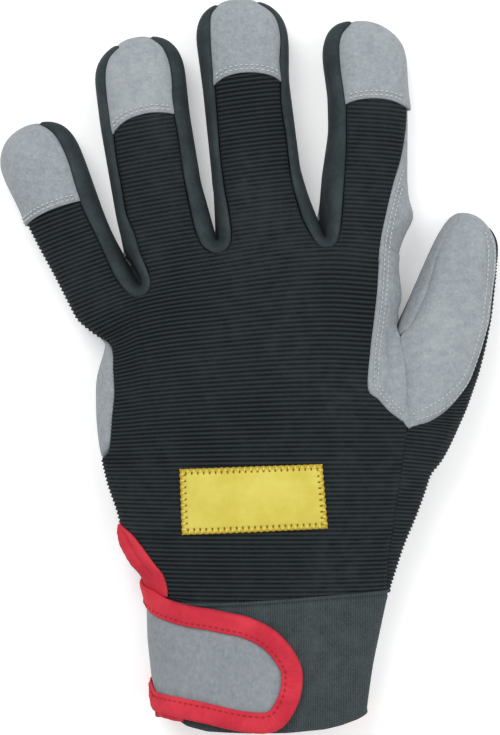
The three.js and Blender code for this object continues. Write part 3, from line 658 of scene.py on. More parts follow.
def back_column(k):
    """Grid of the ribbed cloth that runs from the cuff up one finger, with its rib heights."""
    low, high = -86.0, 108.0
    levels = np.arange(math.floor(low / RIB) * RIB, high, RIB / RIB_STEPS)
    width = (40.0, 27.0, 27.0, 26.0)[k]
    stops = seam_stops(width, 1.25)
    if k == 0:
        coarse = np.arange(low, high, 1.0)
        left = seam_by_phase(*SEAMS[0][1], coarse)
        right = seam_by_phase(*SEAMS[1][0], coarse)
        line, starts, stops_at = side_wrap(left, right)
        rows = even_rows(line, starts, stops_at, stops)
        top = edge_phase(0, CAP_EDGES[0], np.linspace(0, 1, 30), 1.2)
        spread = stops_at - starts
        plan_share = np.clip((stops * spread.mean() - 12) / (spread.mean() - 12), 0, 1)
        top_at = np.interp(plan_share, np.linspace(0, 1, 30), top)
    else:
        top_at = edge_phase(k, CAP_EDGES[k], stops, 1.2)
    bottom_at = edge_phase(k, CUFF_TOP, stops if k else np.linspace(0, 1, len(stops)))
    phase = np.clip(levels[:, None], bottom_at[None], top_at[None])
    if k == 0:
        grid = np.zeros(phase.shape + (3,))
        for column in range(len(stops)):
            for axis in range(3):
                grid[:, column, axis] = np.interp(phase[:, column], coarse, rows[:, column, axis])
        grid[..., 1] += back_plan(0, np.broadcast_to(plan_share, phase.shape), phase, bow_only=True)
        for _ in range(3):
            gap = skin_distance(grid)
            grid -= skin_normal(grid) * np.clip(gap, -1, 1)[..., None] * 0.9
        grid[:, -1] = drop_on(seam_by_phase(*SEAMS[1][0], phase[:, -1]))
    else:
        share = np.broadcast_to(stops[None], phase.shape)
        grid = drop_on(back_plan(k, share, phase))
    return grid, phase, stops, width, bottom_at, top_at


JOINED_ON = 9.0  # stands for the distance to an edge where the cloth runs on


def back_parts():
    """The ribbed panel: one column of cloth for each finger, joined on the hand."""
    parts = []
    charts = []
    for k in range(4):
        grid, phase, stops, width, bottom_at, top_at = back_column(k)
        normals = skin_normal(grid)
        free_left = phase > END_PHASES[k - 1] if k else True
        free_right = phase > END_PHASES[k] if k < 3 else True
        from_left = np.where(free_left, stops[None] * width, JOINED_ON)
        from_right = np.where(free_right, (1 - stops[None]) * width, JOINED_ON)
        edge = np.minimum(np.minimum(from_left, from_right), np.minimum(phase - bottom_at, top_at - phase))
        face = ribbed_face(grid, normals, phase, edge)
        levels = phase.max(axis=1)
        joined = [int((levels < END_PHASES[side - 1]).sum()) if 0 < side < 4 else 0 for side in (k, k + 1)]
        points, faces = walled(face, normals, RIBBED_WALL, RIB_STEPS, 3, joined)
        parts.append((points, faces))
        charts.append(chart_of(points, grid[..., 0] if k else run_across(grid), phase))
    return parts, np.vstack(charts)


# The other pieces of the skin


def rows_between(origin, left, right, outward, push=0.6, count=17, forms=None, level=0.0):
    """Rows over the skin from one seam to another, seen from points inside the glove."""
    a = unit(left - origin)
    b = unit(right - origin)
    t = np.linspace(0, 1, count)[None, :, None]
    bulge = 4 * t * (1 - t) * np.reshape(push, (-1, 1, 1))
    ray = a[:, None] * (1 - t) + b[:, None] * t + outward[:, None] * bulge
    grid = shoot(origin[:, None], ray, level=level, forms=forms)
    grid[:, 0] = left
    grid[:, -1] = right
    return grid


def spread(grid, stops):
    """The same rows with their points at the given shares of each row's length."""
    return even_rows(grid, np.zeros(len(grid)), np.array([lengths(line)[-1] for line in grid]), stops)


def sewn_on(grid, normals, wall=WALL, edges=(1, 1, 1, 1), depth=0.5, puff=0.0, ease=1.0, **more):
    """A panel whose sewn edges are drawn in. edges: left, right, start and end."""
    across = run_across(grid)
    along = run_along(grid)
    gap = np.full(across.shape, 99.0)
    for sewn, distance in zip(edges, (across, across[:, -1:] - across, along, along[-1:] - along)):
        if sewn:
            gap = np.minimum(gap, distance)
    lift = tuck(gap, depth) + puff * (1 - np.exp(-((np.maximum(gap, 0) / 3.0) ** 2)))
    face = grid + normals * (lift * ease)[..., None]
    face[..., 2] = np.maximum(face[..., 2], 0.0)
    return walled(face, normals, wall, **more)


def finger_axis(name, along, z=8.5):
    """Points on the middle line of a finger, at shares of its length."""
    finger = FINGERS[name]
    along = np.asarray(along, float)
    table = finger["table"]
    middle = (np.interp(along, table[0], table[1]) + np.interp(along, table[0],
                                                               table[2])) / 2 * finger["width"]
    p = finger["root"] + finger["ahead"] * (along * finger["length"])[..., None]
    p = p + finger["side"] * middle[..., None]
    return np.concatenate([p, np.full(p.shape[:-1] + (1,), z)], axis=-1)


def along_finger(name, points):
    """How far along a finger points lie, as a share of its length."""
    finger = FINGERS[name]
    return ((points[..., :2] - finger["root"]) @ finger["ahead"]) / finger["length"]


def finger_rim(name, along, azimuth, z=PALM_SEAM, only=True):
    """Points at one height round a finger; azimuth -90 is its left side, 0 its tip and 90 its right side."""
    finger = FINGERS[name]
    turn = np.radians(azimuth)
    origin = finger_axis(name, along, z)
    ray = np.zeros(origin.shape)
    ray[..., :2] = np.sin(turn)[..., None] * finger["side"] + np.cos(turn)[..., None] * finger["ahead"]
    forms = (name,) if only else ("hand", name)
    return shoot(origin, ray, forms=forms)


def rim_line(name, side, start, end_azimuth, count, z=PALM_SEAM):
    """The palm seam along one side of a finger, from a share of its length round to its tip."""
    finger = FINGERS[name]
    sign = -1 if side == "left" else 1
    centre = finger["round"] - 0.02
    straight = max(2, int(count * 0.7))
    along = np.concatenate([np.linspace(start, centre, straight), np.full(count - straight, centre)])
    azimuth = np.concatenate([np.full(straight, 90.0), np.linspace(90, end_azimuth,
                                                                   count - straight + 1)[1:]]) * sign
    return finger_rim(name, along, azimuth, z)


CAP_SEAMS = {
    "little": {"right": [(80, 201), (75, 184), (70, 166), (65, 153), (58, 139), (48, 128), (38, 123.5)],
               "front": (0, 14)},
    "ring": {"left": [(113, 134.5), (110, 123), (107, 103), (105, 83), (106, 66), (110, 56), (119, 47)],
             "right": [(174, 114), (172.5, 96), (172, 78), (169, 61), (162, 46), (152, 38.5)],
             "front": (-22, 22)},
    "middle": {"left": [(214, 85.5), (211, 55), (210, 27), (211, 14), (219, 4)],
               "right": [(281, 82), (280, 61), (281, 39), (278, 22), (270, 10), (260, 4)],
               "front": (-26, 26)},
    "index": {"left": [(346, 104.5), (343, 88), (340, 67), (339, 47), (341, 35), (350, 24)],
              "front": (-20, 0)},
}


def tip_line(name, side, count=40):
    """Edge of a fingertip cap, from its foot over the tip to the palm seam."""
    seams = CAP_SEAMS[name]
    azimuth = seams["front"][0 if side == "left" else 1]
    if side in seams:
        top = drop_on(smooth_line(draw(seams[side]), 26))
        centre = FINGERS[name]["round"]
        heights = [12.5, 9.5, 7.5, PALM_SEAM]
        front = np.array([finger_rim(name, np.array(centre), np.array(float(azimuth)), z) for z in heights])
        return smooth_line(np.vstack([top[::3], top[-1:], front]), count)
    foot = CAP_EDGES[NAMES.index(name)][0 if side == "left" else -1]
    start = along_finger(name, draw([foot]))[0]
    return rim_line(name, side, start, abs(azimuth) + 4, count)


def cap_parts(name):
    """The leather cap over one fingertip."""
    left = tip_line(name, "left", 36)
    right = tip_line(name, "right", 36)
    finger = FINGERS[name]
    centre = (left + right) / 2
    along = np.minimum(along_finger(name, centre), finger["round"] - 0.02)
    origin = finger_axis(name, along)
    turn = np.clip((np.arange(36) / 35 - 0.45) / 0.55, 0, 1)[:, None] * math.radians(78)
    outward = np.concatenate([finger["ahead"] * np.sin(turn), np.cos(turn)], axis=1)
    wraps = name in ("little", "index")
    push = (1.0 if wraps else 0.7) * (1 - np.linspace(0, 1, 36) ** 5)
    grid = rows_between(origin, left, right, outward, push, 25, (name,))
    stops = seam_stops(24.0, 1.1)
    grid = spread(grid, stops)
    foot = smooth_line(draw(CAP_EDGES[NAMES.index(name)]), 60)
    # the foot follows its drawn edge
    shares = np.linspace(0, 1, 36)
    befores = []
    for column in range(grid.shape[1]):
        line = grid[:, column]
        fine = np.linspace(0, 14, 400)
        points = points_at(fine, np.arange(len(line)), line[:, :2])
        gap = np.linalg.norm(points[:, None] - foot[None], axis=2).min(axis=1)
        befores.append(np.interp(fine[np.argmin(gap)], np.arange(len(line)), lengths(line)))
    for column, before in enumerate(evened(befores)):
        line = grid[:, column]
        run = lengths(line)
        grid[:, column] = points_at(before + (run[-1] - before) * shares, run, line)
    normals = skin_normal(grid)
    grid = grid + normals * (0.6 * np.exp(-((run_along(grid) / 4.0) ** 2)))[..., None]
    return [sewn_on(grid, normals, edges=(1, 1, 0, 1), depth=0.3, puff=0.4)]


def fourchette_parts(k):
    """A strip from one fingertip down to the crotch, round its tongue and up to the next fingertip."""
    one, two = NAMES[k], NAMES[k + 1]
    tongue = TONGUES[k]
    count = 60
    stations = []
    for name, side, drawing in ((one, "right", tongue["left"]), (two, "left", tongue["right"][::-1])):
        seam = CAP_SEAMS[name][side]
        whole = drawing[2 if name == "little" else 1:-4]
        cap = tip_line(name, side, 30)[::-1]
        body = drop_on(smooth_line(draw(whole), 50))
        stations.append(smooth_line(np.vstack([cap[:-1:2], cap[-1:], body[3::4]]), count))
    gap = draw([tongue["gap"]])[0]
    slit = draw([tongue["slit"]])[0]
    lines = []
    for which, (name, sign) in enumerate(((one, 1), (two, -1))):
        top = stations[which]
        finger = FINGERS[name]
        along = along_finger(name, top)
        centre = finger["round"] - 0.02
        front = CAP_SEAMS[name]["front"][1 if sign > 0 else 0]
        beyond = np.clip((along - centre) / (1 - centre), 0, 1)
        azimuth = sign * (90 - (90 - abs(front)) * beyond**0.8)
        at = np.minimum(along, centre)
        high = np.clip(top[:, 2] - 0.3, PALM_SEAM + 0.1, 9.3)
        middle = np.array([finger_rim(name, np.array(s), np.array(a), z) for s, a,
                           z in zip(at, azimuth, high)])
        low = np.array([finger_rim(name, np.array(s), np.array(a)) for s, a in zip(at, azimuth)])
        # towards the crotch the two sides close up
        run = (top[:, 1] - gap[1]) / 16.0
        near = np.clip(1 - run, 0, 1)[:, None] ** 2
        side_gap = gap - np.array([1, 0]) * sign * tongue["open"] + (slit - gap) * np.clip(-run, 0, 1)[:,
                                                                                                       None]
        middle[:, :2] = middle[:, :2] * (1 - near) + side_gap * near
        low_gap = gap - np.array([1, 0]) * sign * 0.1
        low[:, :2] = low[:, :2] * (1 - near) + low_gap * near
        if sign < 0:
            top, middle, low = top[::-1], middle[::-1], low[::-1]
        lines.append((top, middle, low))
    bend = smooth_line(np.vstack([draw(tongue["left"][-4:]), draw(tongue["right"][:4])[1:]]), 31)
    bend_top = drop_on(bend)
    arc = np.linspace(0, math.pi, 31)
    bend_middle = np.zeros((31, 3))
    bend_middle[:, :2] = gap + (slit - gap) * np.sin(arc)[:, None] ** 0.6
    bend_middle[:, 0] += -np.cos(arc) * tongue["open"]
    bend_middle[:, 2] = 9.3 + np.sin(arc) * (3.0 - 2.5 * (tongue["open"] - 0.45))
    bend_low = np.zeros((31, 3))
    bend_low[:, :2] = gap + (slit - gap) * 0.25 * np.sin(arc)[:, None]
    bend_low[:, 0] += -np.cos(arc) * 0.25
    bend_low[:, 2] = PALM_SEAM
    # its ends are moved onto those of the two sides
    share = np.linspace(0, 1, 31)[:, None]
    for row, line in ((1, bend_middle), (2, bend_low)):
        at_start = (lines[0][row][-1] - line[0]) * np.clip(1 - share * 3, 0, 1)
        at_end = (lines[1][row][0] - line[-1]) * np.clip(share * 3 - 2, 0, 1)
        line += at_start + at_end
    top = np.vstack([lines[0][0], bend_top[1:-1], lines[1][0]])
    middle = np.vstack([lines[0][1], bend_middle[1:-1], lines[1][1]])
    low = np.vstack([lines[0][2], bend_low[1:-1], lines[1][2]])
    corner = np.concatenate([middle[:, :2], np.maximum(top[:, 2:] - 0.2, middle[:, 2:])], axis=1)
    w = np.array([0, 0.05, 0.12, 0.22, 0.34, 0.46, 0.58, 0.7, 0.82, 0.92, 1.0])[None, :, None]
    upper = top[:, None] * (1 - w) ** 2 + corner[:, None] * 2 * w * (1 - w) + middle[:, None] * w**2
    lower = middle[:, None] + (low - middle)[:, None] * np.array([0.35, 0.7, 1.0])[None, :, None]
    grid = np.concatenate([upper, lower], axis=1)
    for _ in range(2):
        grid[1:-1, 1:] = (grid[:-2, 1:] + 2 * grid[1:-1, 1:] + grid[2:, 1:]) / 4
    normals = grid_normals(grid)
    if normals[:, 5, 2].mean() < 0:
        grid = grid[::-1]
        normals = -normals[::-1]
    normals[:5] = skin_normal(grid[:5])
    normals[-5:] = skin_normal(grid[-5:])
    return [sewn_on(grid, normals, wall=1.1, edges=(1, 0, 0, 0), depth=0.4)]


def underside(name, left, right, wrap=False):
    """Palm leather under a finger, from its root round its tip to the palm seam."""
    finger = FINGERS[name]
    centre = (left + right) / 2
    along = np.minimum(along_finger(name, centre), finger["round"] - 0.02)
    origin = finger_axis(name, along, 7.5)
    outward = np.zeros((len(left), 3))
    outward[:, 2] = -1.0
    if wrap:
        outward[:, :2] = finger["side"] * 0.9
    grid = rows_between(origin, left, right, outward, 1.2, 31, (name,))
    return spread(grid, seam_stops(34.0, 1.6))


HEM_Y = -121.5


def palm_parts():
    """The palm's leather with its wrap beside the index finger, and the tape on its hem."""
    parts = []
    starts = {"little": -0.02, "ring": 0.04, "middle": 0.03, "index": 0.02}
    for name in NAMES:
        left, right = (rim_line(name, side, starts[name], 0.5, 44) for side in ("left", "right"))
        if name == "index":
            wrap = drop_on(smooth_line(draw([(379, 262), (381, 243), (386, 216), (394, 184), (400, 166),
                                             (404.5, 146), (407, 130)]), 20))
            right = smooth_line(np.vstack([wrap[::2], right[26:]]), 44)
            grid = underside(name, left, right, wrap=True)
        else:
            grid = underside(name, left, right)
        normals = skin_normal(grid)
        if name == "index":
            from_seam = run_across(grid[:, ::-1])[:, ::-1]
            grid = puffed(grid, np.clip(from_seam / 5, 0, 1) * np.clip((grid[..., 0] - 42) / 8, 0, 1))
        # the fingers' leather runs on above that of the hand
        join = 34.0 if name == "little" else 50.0
        grid[..., 2] += 0.5 * np.clip((join - grid[..., 1]) / 6, 0, 1) * np.clip(3 - grid[..., 2], 0, 1)
        parts.append(sewn_on(grid, normals, edges=(1, 1, 0, 0), depth=0.45))
    # the hand from the wrist to the roots of the fingers
    ys = np.linspace(HEM_Y, 44, 92)
    heights = np.linspace(-85, 30, 120)
    line, start, _ = side_wrap(*[seam_by_phase(*t, heights) for t in (SEAMS[0][1], SEAMS[1][0])])
    edge = np.array([points_at([s], lengths(l), l)[0] for l, s in zip(line, start)])
    centre_x = np.interp(ys, [-123, -80, -20, 44], [6, 8, 4, 0])
    origin = np.column_stack([centre_x, ys, np.full(len(ys), 12.0)])
    down = PALM_SEAM - 12.0
    left = shoot(origin, np.tile([-1.0, 0, down / 48], (len(ys), 1)), forms=("hand", "little"))
    for row, y in enumerate(ys):
        if -80 < y < 12:
            left[row] = edge[np.argmin(np.abs(edge[:, 1] - y))]
    ray = np.tile([1.0, 0, down / 55], (len(ys), 1))
    share = np.clip((-27.0 - ys) / 4, 0, 1)[:, None]
    right = shoot(origin, ray, forms=("hand", "index")) * (1 - share)
    right = right + shoot(origin, ray, forms=("hand", "thumb")) * share
    for axis in (0, 2):
        left[:, axis] = evened(left[:, axis])
    outward = np.tile([0.0, 0, -1.0], (len(ys), 1))
    grid = rows_between(origin, left, right, outward, 0.9, 61, ("hand", "little", "ring", "middle", "index"))
    grid = spread(grid, seam_stops(110.0, 2.2))
    foot = np.array(CUFF_FOOT)
    fade = np.exp(-((grid[..., 1] - HEM_Y) / 9.0) ** 2)
    grid[..., 1] += (np.interp(grid[..., 0], foot[:, 0], foot[:, 1]) - HEM_Y + 0.5) * fade
    grid[..., 2] += 0.75 * np.exp(-((grid[..., 1] + 121.0) / 7.0) ** 2)
    crotch = np.clip((-30 - grid[..., 0]) / 8, 0, 1)
    grid[..., 1] -= 6.5 * np.exp(-((44 - grid[..., 1]) / 8) ** 2) * crotch
    normals = skin_normal(grid)
    grid = puffed(grid, np.clip((grid[..., 0] - 42) / 8, 0, 1))
    parts.append(sewn_on(grid, normals, edges=(1, 1, 0, 0), depth=0.45))
    hem = hem_binding_parts(grid[0], grid[3], normals[0])
    # the wrap between the ribbed fabric and the thumb
    inner = drop_on(smooth_line(draw([(406.5, 426), (400, 419), (392, 413), (385, 406), (379, 399),
                                      (368.5, 388),
                                      (371, 350), (375, 318), (378, 290), (381, 243)]), 50))
    outer_top = drop_on(smooth_line(draw(THUMB_ROOT + [(397.5, 327), (399, 312)]), 32))
    outer_side = finger_rim("index", np.linspace(-0.29, 0.0, 18), np.full(18, 90.0), 8.0, only=False)
    outer = smooth_line(np.vstack([outer_top[::3], outer_side[6::3]]), 50)
    t = np.linspace(0, 1, 21)[None, :, None]
    flat = inner[:, None] * (1 - t) + outer[:, None] * t
    top = drop_on(flat[..., :2])
    top[:, -1] = outer
    normals = skin_normal(top)
    top = puffed(top, np.linspace(0, 1, 21)[None] ** 1.5)
    parts.append(sewn_on(top, normals, edges=(1, 1, 1, 0), depth=0.5, puff=0.5, ease=soft_root(top, True)))
    return parts, hem


def puffed(grid, weight):
    """The leather's two soft bulges beside the root of the index finger."""
    y = grid[..., 1]
    bulge = 1.25 * np.exp(-(((y - 51.9) / 4.2) ** 2)) + 1.5 * np.exp(-(((y - 25.2) / 5.5) ** 2))
    moved = grid.copy()
    moved[..., 0] += bulge * weight
    return moved


def soft_root(grid, last):
    """Where the leather runs on over the thumb's root without a seam."""
    shares = np.linspace(0, 1, grid.shape[1])[None]
    near = shares > 0.5 if last else shares < 0.5
    return 1 - 0.9 * near * np.exp(-(((grid[..., 1] - 6.0) / 6.5) ** 4))


THUMB_TURN = 0.7  # share of the thumb's length where its tip begins to round
THUMB_CORE = 8.0  # height of the points inside the thumb from which its skin is found
THUMB_GROOVE = [(400, 338), (411, 322.5), (421, 304), (427, 288), (433, 270), (440.5, 248), (448, 231.5),
                (458, 220.5)]
THUMB_EDGE = [(409, 428.5), (419, 425), (430, 422), (441, 415), (452, 406), (461, 395.5), (470, 383),
              (475, 370),
              (481, 354), (485, 339), (489, 326), (491, 312), (493, 294), (495.5, 274), (496.5, 257),
              (495.5, 241), (490.5, 230)]
# How the thumb's seams go down its tip: degrees from straight ahead, and heights
TIP_EDGE = [(22, 10.0), (17, 8.0), (12, PALM_SEAM)]
TIP_FRONT = [(5, PALM_SEAM), (-3, PALM_SEAM), (-10, PALM_SEAM)]
TIP_GROOVE = [(-17, 11.0), (-14, 8.5), (-10, PALM_SEAM)]
THUMB_ROOT = [(409, 428.5), (407.5, 412), (407, 395), (406, 374), (403.5, 356), (400, 338)]
THUMB_SIDE = [(387.5, 591), (389, 560), (395, 520), (401, 480), (406, 440), (408, 428.5)]


def thumb_rim(along, azimuth, z=PALM_SEAM):
    """Points at one height round the thumb and the side of the hand below it."""
    return finger_rim("thumb", along, azimuth, z, only=False)


def thumb_line(drawing, tip, count):
    """A seam drawn over the thumb that goes down its tip."""
    top = drop_on(smooth_line(draw(drawing), 60))
    front = np.array([thumb_rim(np.array(THUMB_TURN), np.array(float(turn)), z) for turn, z in tip])
    return smooth_line(np.vstack([top[:-1:4], top[-1:], front]), count)


def thumb_parts():
    """The thumb's top piece, its under piece, and the ribbed piece along its outer side."""
    count = 64
    groove = thumb_line(THUMB_ROOT + THUMB_GROOVE[1:], TIP_GROOVE, count)
    edge = thumb_line(THUMB_EDGE, TIP_EDGE + TIP_FRONT, count)
    t = np.linspace(0, 1, 25)[None, :, None]
    flat = groove[:, None] * (1 - t) + edge[:, None] * t
    top = drop_on(flat[..., :2])
    # the rows at the tip go over its rounding
    along = along_finger("thumb", (groove + edge) / 2)
    past = np.clip((along - THUMB_TURN) / 0.3, 0, 1)[:, None] * math.radians(80)
    outward = np.concatenate([FINGERS["thumb"]["ahead"] * np.sin(past), np.cos(past)], axis=1)
    origin = finger_axis("thumb", np.clip(along, 0.2, THUMB_TURN), THUMB_CORE)
    over = rows_between(origin, groove, edge, outward, 0.7 * (1 - np.linspace(0, 1, count) ** 6), 25,
                        ("hand", "thumb"))
    near_tip = np.clip((along - 0.6) / 0.12, 0, 1)[:, None, None]
    top = top * (1 - near_tip) + over * near_tip
    top = spread(top, seam_stops(24.0, 1.1))
    top_ease = soft_root(top, False) * (1 - 0.8 * near_tip[..., 0])
    top_piece = sewn_on(top, skin_normal(top), edges=(1, 1, 1, 0), depth=0.5, puff=0.6, ease=top_ease)
    # under piece: from the groove down round the palm side to the outer seam
    n = 46
    inner_top = thumb_line(THUMB_GROOVE, TIP_GROOVE, n - 8)
    low_heights = [0.2, 0.2, 0.2, 0.3, 0.6, 1.5, 4.0, 9.0]
    left_low = np.column_stack([np.full(8, 52.5), np.linspace(-32, 6, 8), low_heights])
    left = smooth_line(np.vstack([left_low, inner_top[2::4]]), n)
    azimuth = np.concatenate([np.full(30, 90.0), np.linspace(90, TIP_GROOVE[-1][0], n - 29)[1:]])
    along = np.concatenate([np.linspace(-0.33, THUMB_TURN, 30), np.full(n - 30, THUMB_TURN)])
    right = thumb_rim(along, azimuth)
    origin = finger_axis("thumb", np.clip(along_finger("thumb", (left + right) / 2), -0.33, 0.72), THUMB_CORE)
    origin[:, 0] = np.maximum(origin[:, 0], 58.5)
    outward = np.zeros((n, 3))
    outward[:, :2] = -FINGERS["thumb"]["side"] * 0.35
    outward[:, 2] = -1.0
    under = rows_between(origin, left, right, outward, 1.1 * (1 - np.linspace(0, 1, n) ** 8), 33, ("thumb",))
    under = spread(under, seam_stops(40.0, 1.5))
    under[..., 2] += 0.4 * np.clip((-24 - under[..., 1]) / 5, 0, 1)
    ease = 1 - 0.8 * np.clip((np.linspace(0, 1, n) - 0.82) / 0.1, 0, 1)[:, None]
    under_piece = sewn_on(under, skin_normal(under), edges=(1, 1, 0, 0), depth=0.45, ease=ease)
    # ribbed piece from the cuff up the outer side of the thumb
    m = 330
    left = thumb_line(THUMB_SIDE[:-1] + THUMB_EDGE, TIP_EDGE, m)
    azimuth = np.concatenate([np.full(200, 90.0), np.linspace(90, 12, 60)])
    along = np.concatenate([np.linspace(-0.3, THUMB_TURN, 200), np.full(60, THUMB_TURN)])
    upper = thumb_rim(along, azimuth)
    ys = np.linspace(-77.5, upper[0, 1] - 0.5, 120)
    origin = np.column_stack([np.full(len(ys), 20.0), ys, np.full(len(ys), PALM_SEAM)])
    lower = shoot(origin, np.tile([1.0, 0, 0], (len(ys), 1)), forms=("hand", "thumb"))
    right = smooth_line(np.vstack([lower[::4], upper[4::4]]), m)
    slope = np.interp(np.linspace(0, 1, m), [0, 0.35, 0.6, 1], [0.06, 0.16, 0.24, 0.24])
    ahead = np.column_stack([np.sin(slope), np.cos(slope)])
    left_phase = np.maximum.accumulate((left[:, :2] * ahead).sum(axis=1))
    right_phase = np.maximum.accumulate((right[:, :2] * ahead).sum(axis=1))
    low = max(left_phase[0], right_phase[0]) - 0.2
    high = min(left_phase[-1], right_phase[-1])
    levels = np.arange(low, high, RIB / RIB_STEPS)
    left = points_at(levels, left_phase + np.arange(m) * 1e-7, left)
    right = points_at(levels, right_phase + np.arange(m) * 1e-7, right)
    inside = finger_axis("thumb", np.clip(along_finger("thumb", left), -1.2, THUMB_TURN), THUMB_CORE)
    inside[:, 0] = np.minimum(inside[:, 0], np.minimum(left[:, 0] - 1.0, right[:, 0] - 6.0))
    outward = np.tile([0.8, 0, 0.6], (len(levels), 1))
    side = rows_between(inside, left, right, outward, 0.5, 17, ("hand", "thumb"))
    stops = seam_stops(22.0, 1.2)
    side = spread(side, stops)
    normals = skin_normal(side)
    across = run_across(side)
    gap = np.minimum(across, across[:, -1:] - across)
    phase = np.broadcast_to(levels[:, None], side.shape[:2])
    points, faces = walled(ribbed_face(side, normals, phase, gap), normals, RIBBED_WALL, RIB_STEPS, 2)
    return [top_piece], [under_piece], [(points, faces)], chart_of(points, side[..., 0], phase)


# The wrist: elastic, strap, bindings and label

ROUND_ROWS = np.arange(-130.0, -40.0, 1.0)
RUNS = np.linspace(0, 78, 260)


def round_lines():
    """Lines over the wrist's skin, from the back on its right over to the palm on its left."""
    over = np.linspace(28, -18, 47)
    plan = np.stack(np.broadcast_arrays(over[None], ROUND_ROWS[:, None]), axis=-1)
    angles = np.radians(np.linspace(86, -66, 62))
    rays = np.stack([-np.cos(angles), np.zeros_like(angles), np.sin(angles)], axis=-1)
    origin = np.stack([np.full(len(ROUND_ROWS), -18.0), ROUND_ROWS, np.full(len(ROUND_ROWS), 9.0)], axis=-1)
    side = shoot(origin[:, None], rays[None])
    whole = np.concatenate([drop_on(plan), side], axis=1)
    return np.array([points_at(RUNS, lengths(line), line) for line in whole])


ROUND = round_lines()


def run_of(plan):
    """How far round the wrist each plan point lies."""
    result = []
    for x, y in plan:
        line = ROUND[int(round(y - ROUND_ROWS[0]))]
        edge = int(np.argmin(line[:, 0]))
        result.append(np.interp(-x, -line[:edge + 1, 0], RUNS[:edge + 1]))
    return np.array(result)


def round_at(run, y, lift):
    """Points at a distance round the wrist, a place along it and a height above its skin."""
    row = np.clip(y - ROUND_ROWS[0], 0, len(ROUND_ROWS) - 1.001)
    column = np.clip(run / RUNS[1], 0, len(RUNS) - 1.001)
    i = row.astype(int)
    j = column.astype(int)
    a = (row - i)[..., None]
    b = (column - j)[..., None]
    p = ROUND[i, j] * (1 - a) * (1 - b) + ROUND[i + 1, j] * a * (1 - b)
    p = p + ROUND[i, j + 1] * (1 - a) * b + ROUND[i + 1, j + 1] * a * b
    p = p + skin_normal(p) * np.asarray(lift)[..., None]
    p[..., 2] = np.maximum(p[..., 2], 0.05)
    return p


CUFF_TURN = (178, -4)  # degrees round the wrist, from its left side over the back to its right


def cuff_parts():
    """The woven elastic over the back of the wrist, with a rolled seam along its upper edge."""
    angles = np.radians(np.linspace(*CUFF_TURN, 110))
    shares = np.concatenate([[0, 0.006, 0.015, 0.03], np.linspace(0.05, 0.92, 34),
                             [0.94, 0.955, 0.965, 0.975, 0.985, 1.0]])
    rays = np.stack([np.cos(angles), np.zeros_like(angles), np.sin(angles)], axis=-1)
    foot = np.array(CUFF_FOOT)
    head = draw([(110, 590)] + CUFF_TOP)
    y = np.broadcast_to(-120 + 40 * shares[:, None], (len(shares), len(angles))).copy()
    for _ in range(3):
        origin = np.stack([np.full(y.shape, 6.0), y, np.full(y.shape, 8.0)], axis=-1)
        grid = shoot(origin, np.broadcast_to(rays[None], y.shape + (3,)))
        low = np.interp(grid[..., 0], foot[:, 0], foot[:, 1])
        high = np.interp(grid[..., 0], head[:, 0], head[:, 1]) + 0.3
        y = low + (high - low) * shares[:, None]
    normals = skin_normal(grid)
    below = high - grid[..., 1]
    lift = 0.55 * np.exp(-((below - 0.7) / 0.45) ** 2) - 0.45 * np.exp(-((below - 1.7) / 0.35) ** 2)
    lift = lift + 0.35 * np.exp(-((grid[..., 1] - low) / 0.8) ** 2)
    waves = np.sin(grid[..., 0] * 0.55 + 0.6 * np.sin(grid[..., 1] * 0.11))
    lift = lift + 0.12 * waves * np.clip(below / 10, 0, 1)
    face = grid + normals * lift[..., None]
    return [walled(face, normals, 1.3, 2, 2)]


STRAP_EDGE = [(142, 580.5), (153, 588), (164, 595), (176, 600), (194, 605), (212, 608), (230, 612),
              (245, 615), (258, 620),
              (268, 625), (280, 634), (292, 648), (300, 663), (302, 675), (301, 691), (296, 707),
              (287, 722), (277, 730),
              (265, 733), (251, 732.5), (232, 729.5), (206, 723), (181, 717), (162, 709), (152.5, 700)]


def strap_edge(count=260):
    """The strap's edge, as distances round the wrist (to the right) and along it."""
    plan = draw(STRAP_EDGE)
    edge = np.column_stack([-run_of(plan), plan[:, 1]])
    start = edge[0] + np.array([[-9.5, 1.5], [-5.0, 1.2]])
    end = edge[-1] + np.array([[-4.0, 0.7], [-9.5, 0.6]])
    return smooth_line(np.vstack([start, edge, end]), count)


def strap_lift(run, y, height):
    """Height of the strap above the skin; it lies closer where it comes round from the palm."""
    side = np.clip((run - 50) / 8, 0, 1)
    high = np.clip((y + 92) / 16, 0, 1)
    return height * (1 - 0.4 * side * high)


def strap_parts():
    """The closing strap inside its tape."""
    edge = strap_edge()
    inner = edge + rightward(edge) * 1.4
    tip = int(np.argmax(inner[:, 0]))
    upper = smooth_line(inner[:tip + 1:4], 90)
    lower = smooth_line(inner[tip:][::-1][::4], 90)
    lower[-1] = upper[-1]
    shares = np.linspace(0, 1, 45)[None, :, None]
    flat = upper[:, None] * (1 - shares) + lower[:, None] * shares
    run, y = -flat[..., 0], flat[..., 1]
    gap = np.linalg.norm(flat[:, :, None] - inner[None, None, ::3], axis=3).min(axis=2)
    height = 2.75 - 0.35 * np.exp(-((gap - 5.6) / 1.2) ** 2) + 0.12 * np.sin(flat[..., 0] * 0.33 + y * 0.21)
    face = round_at(run, y, strap_lift(run, y, height))
    normals = skin_normal(face)
    return [walled(face[:, ::-1], normals[:, ::-1], 1.3, 2, 2, floor=0.1)]


STRAP_TAPE_TOP = 3.75


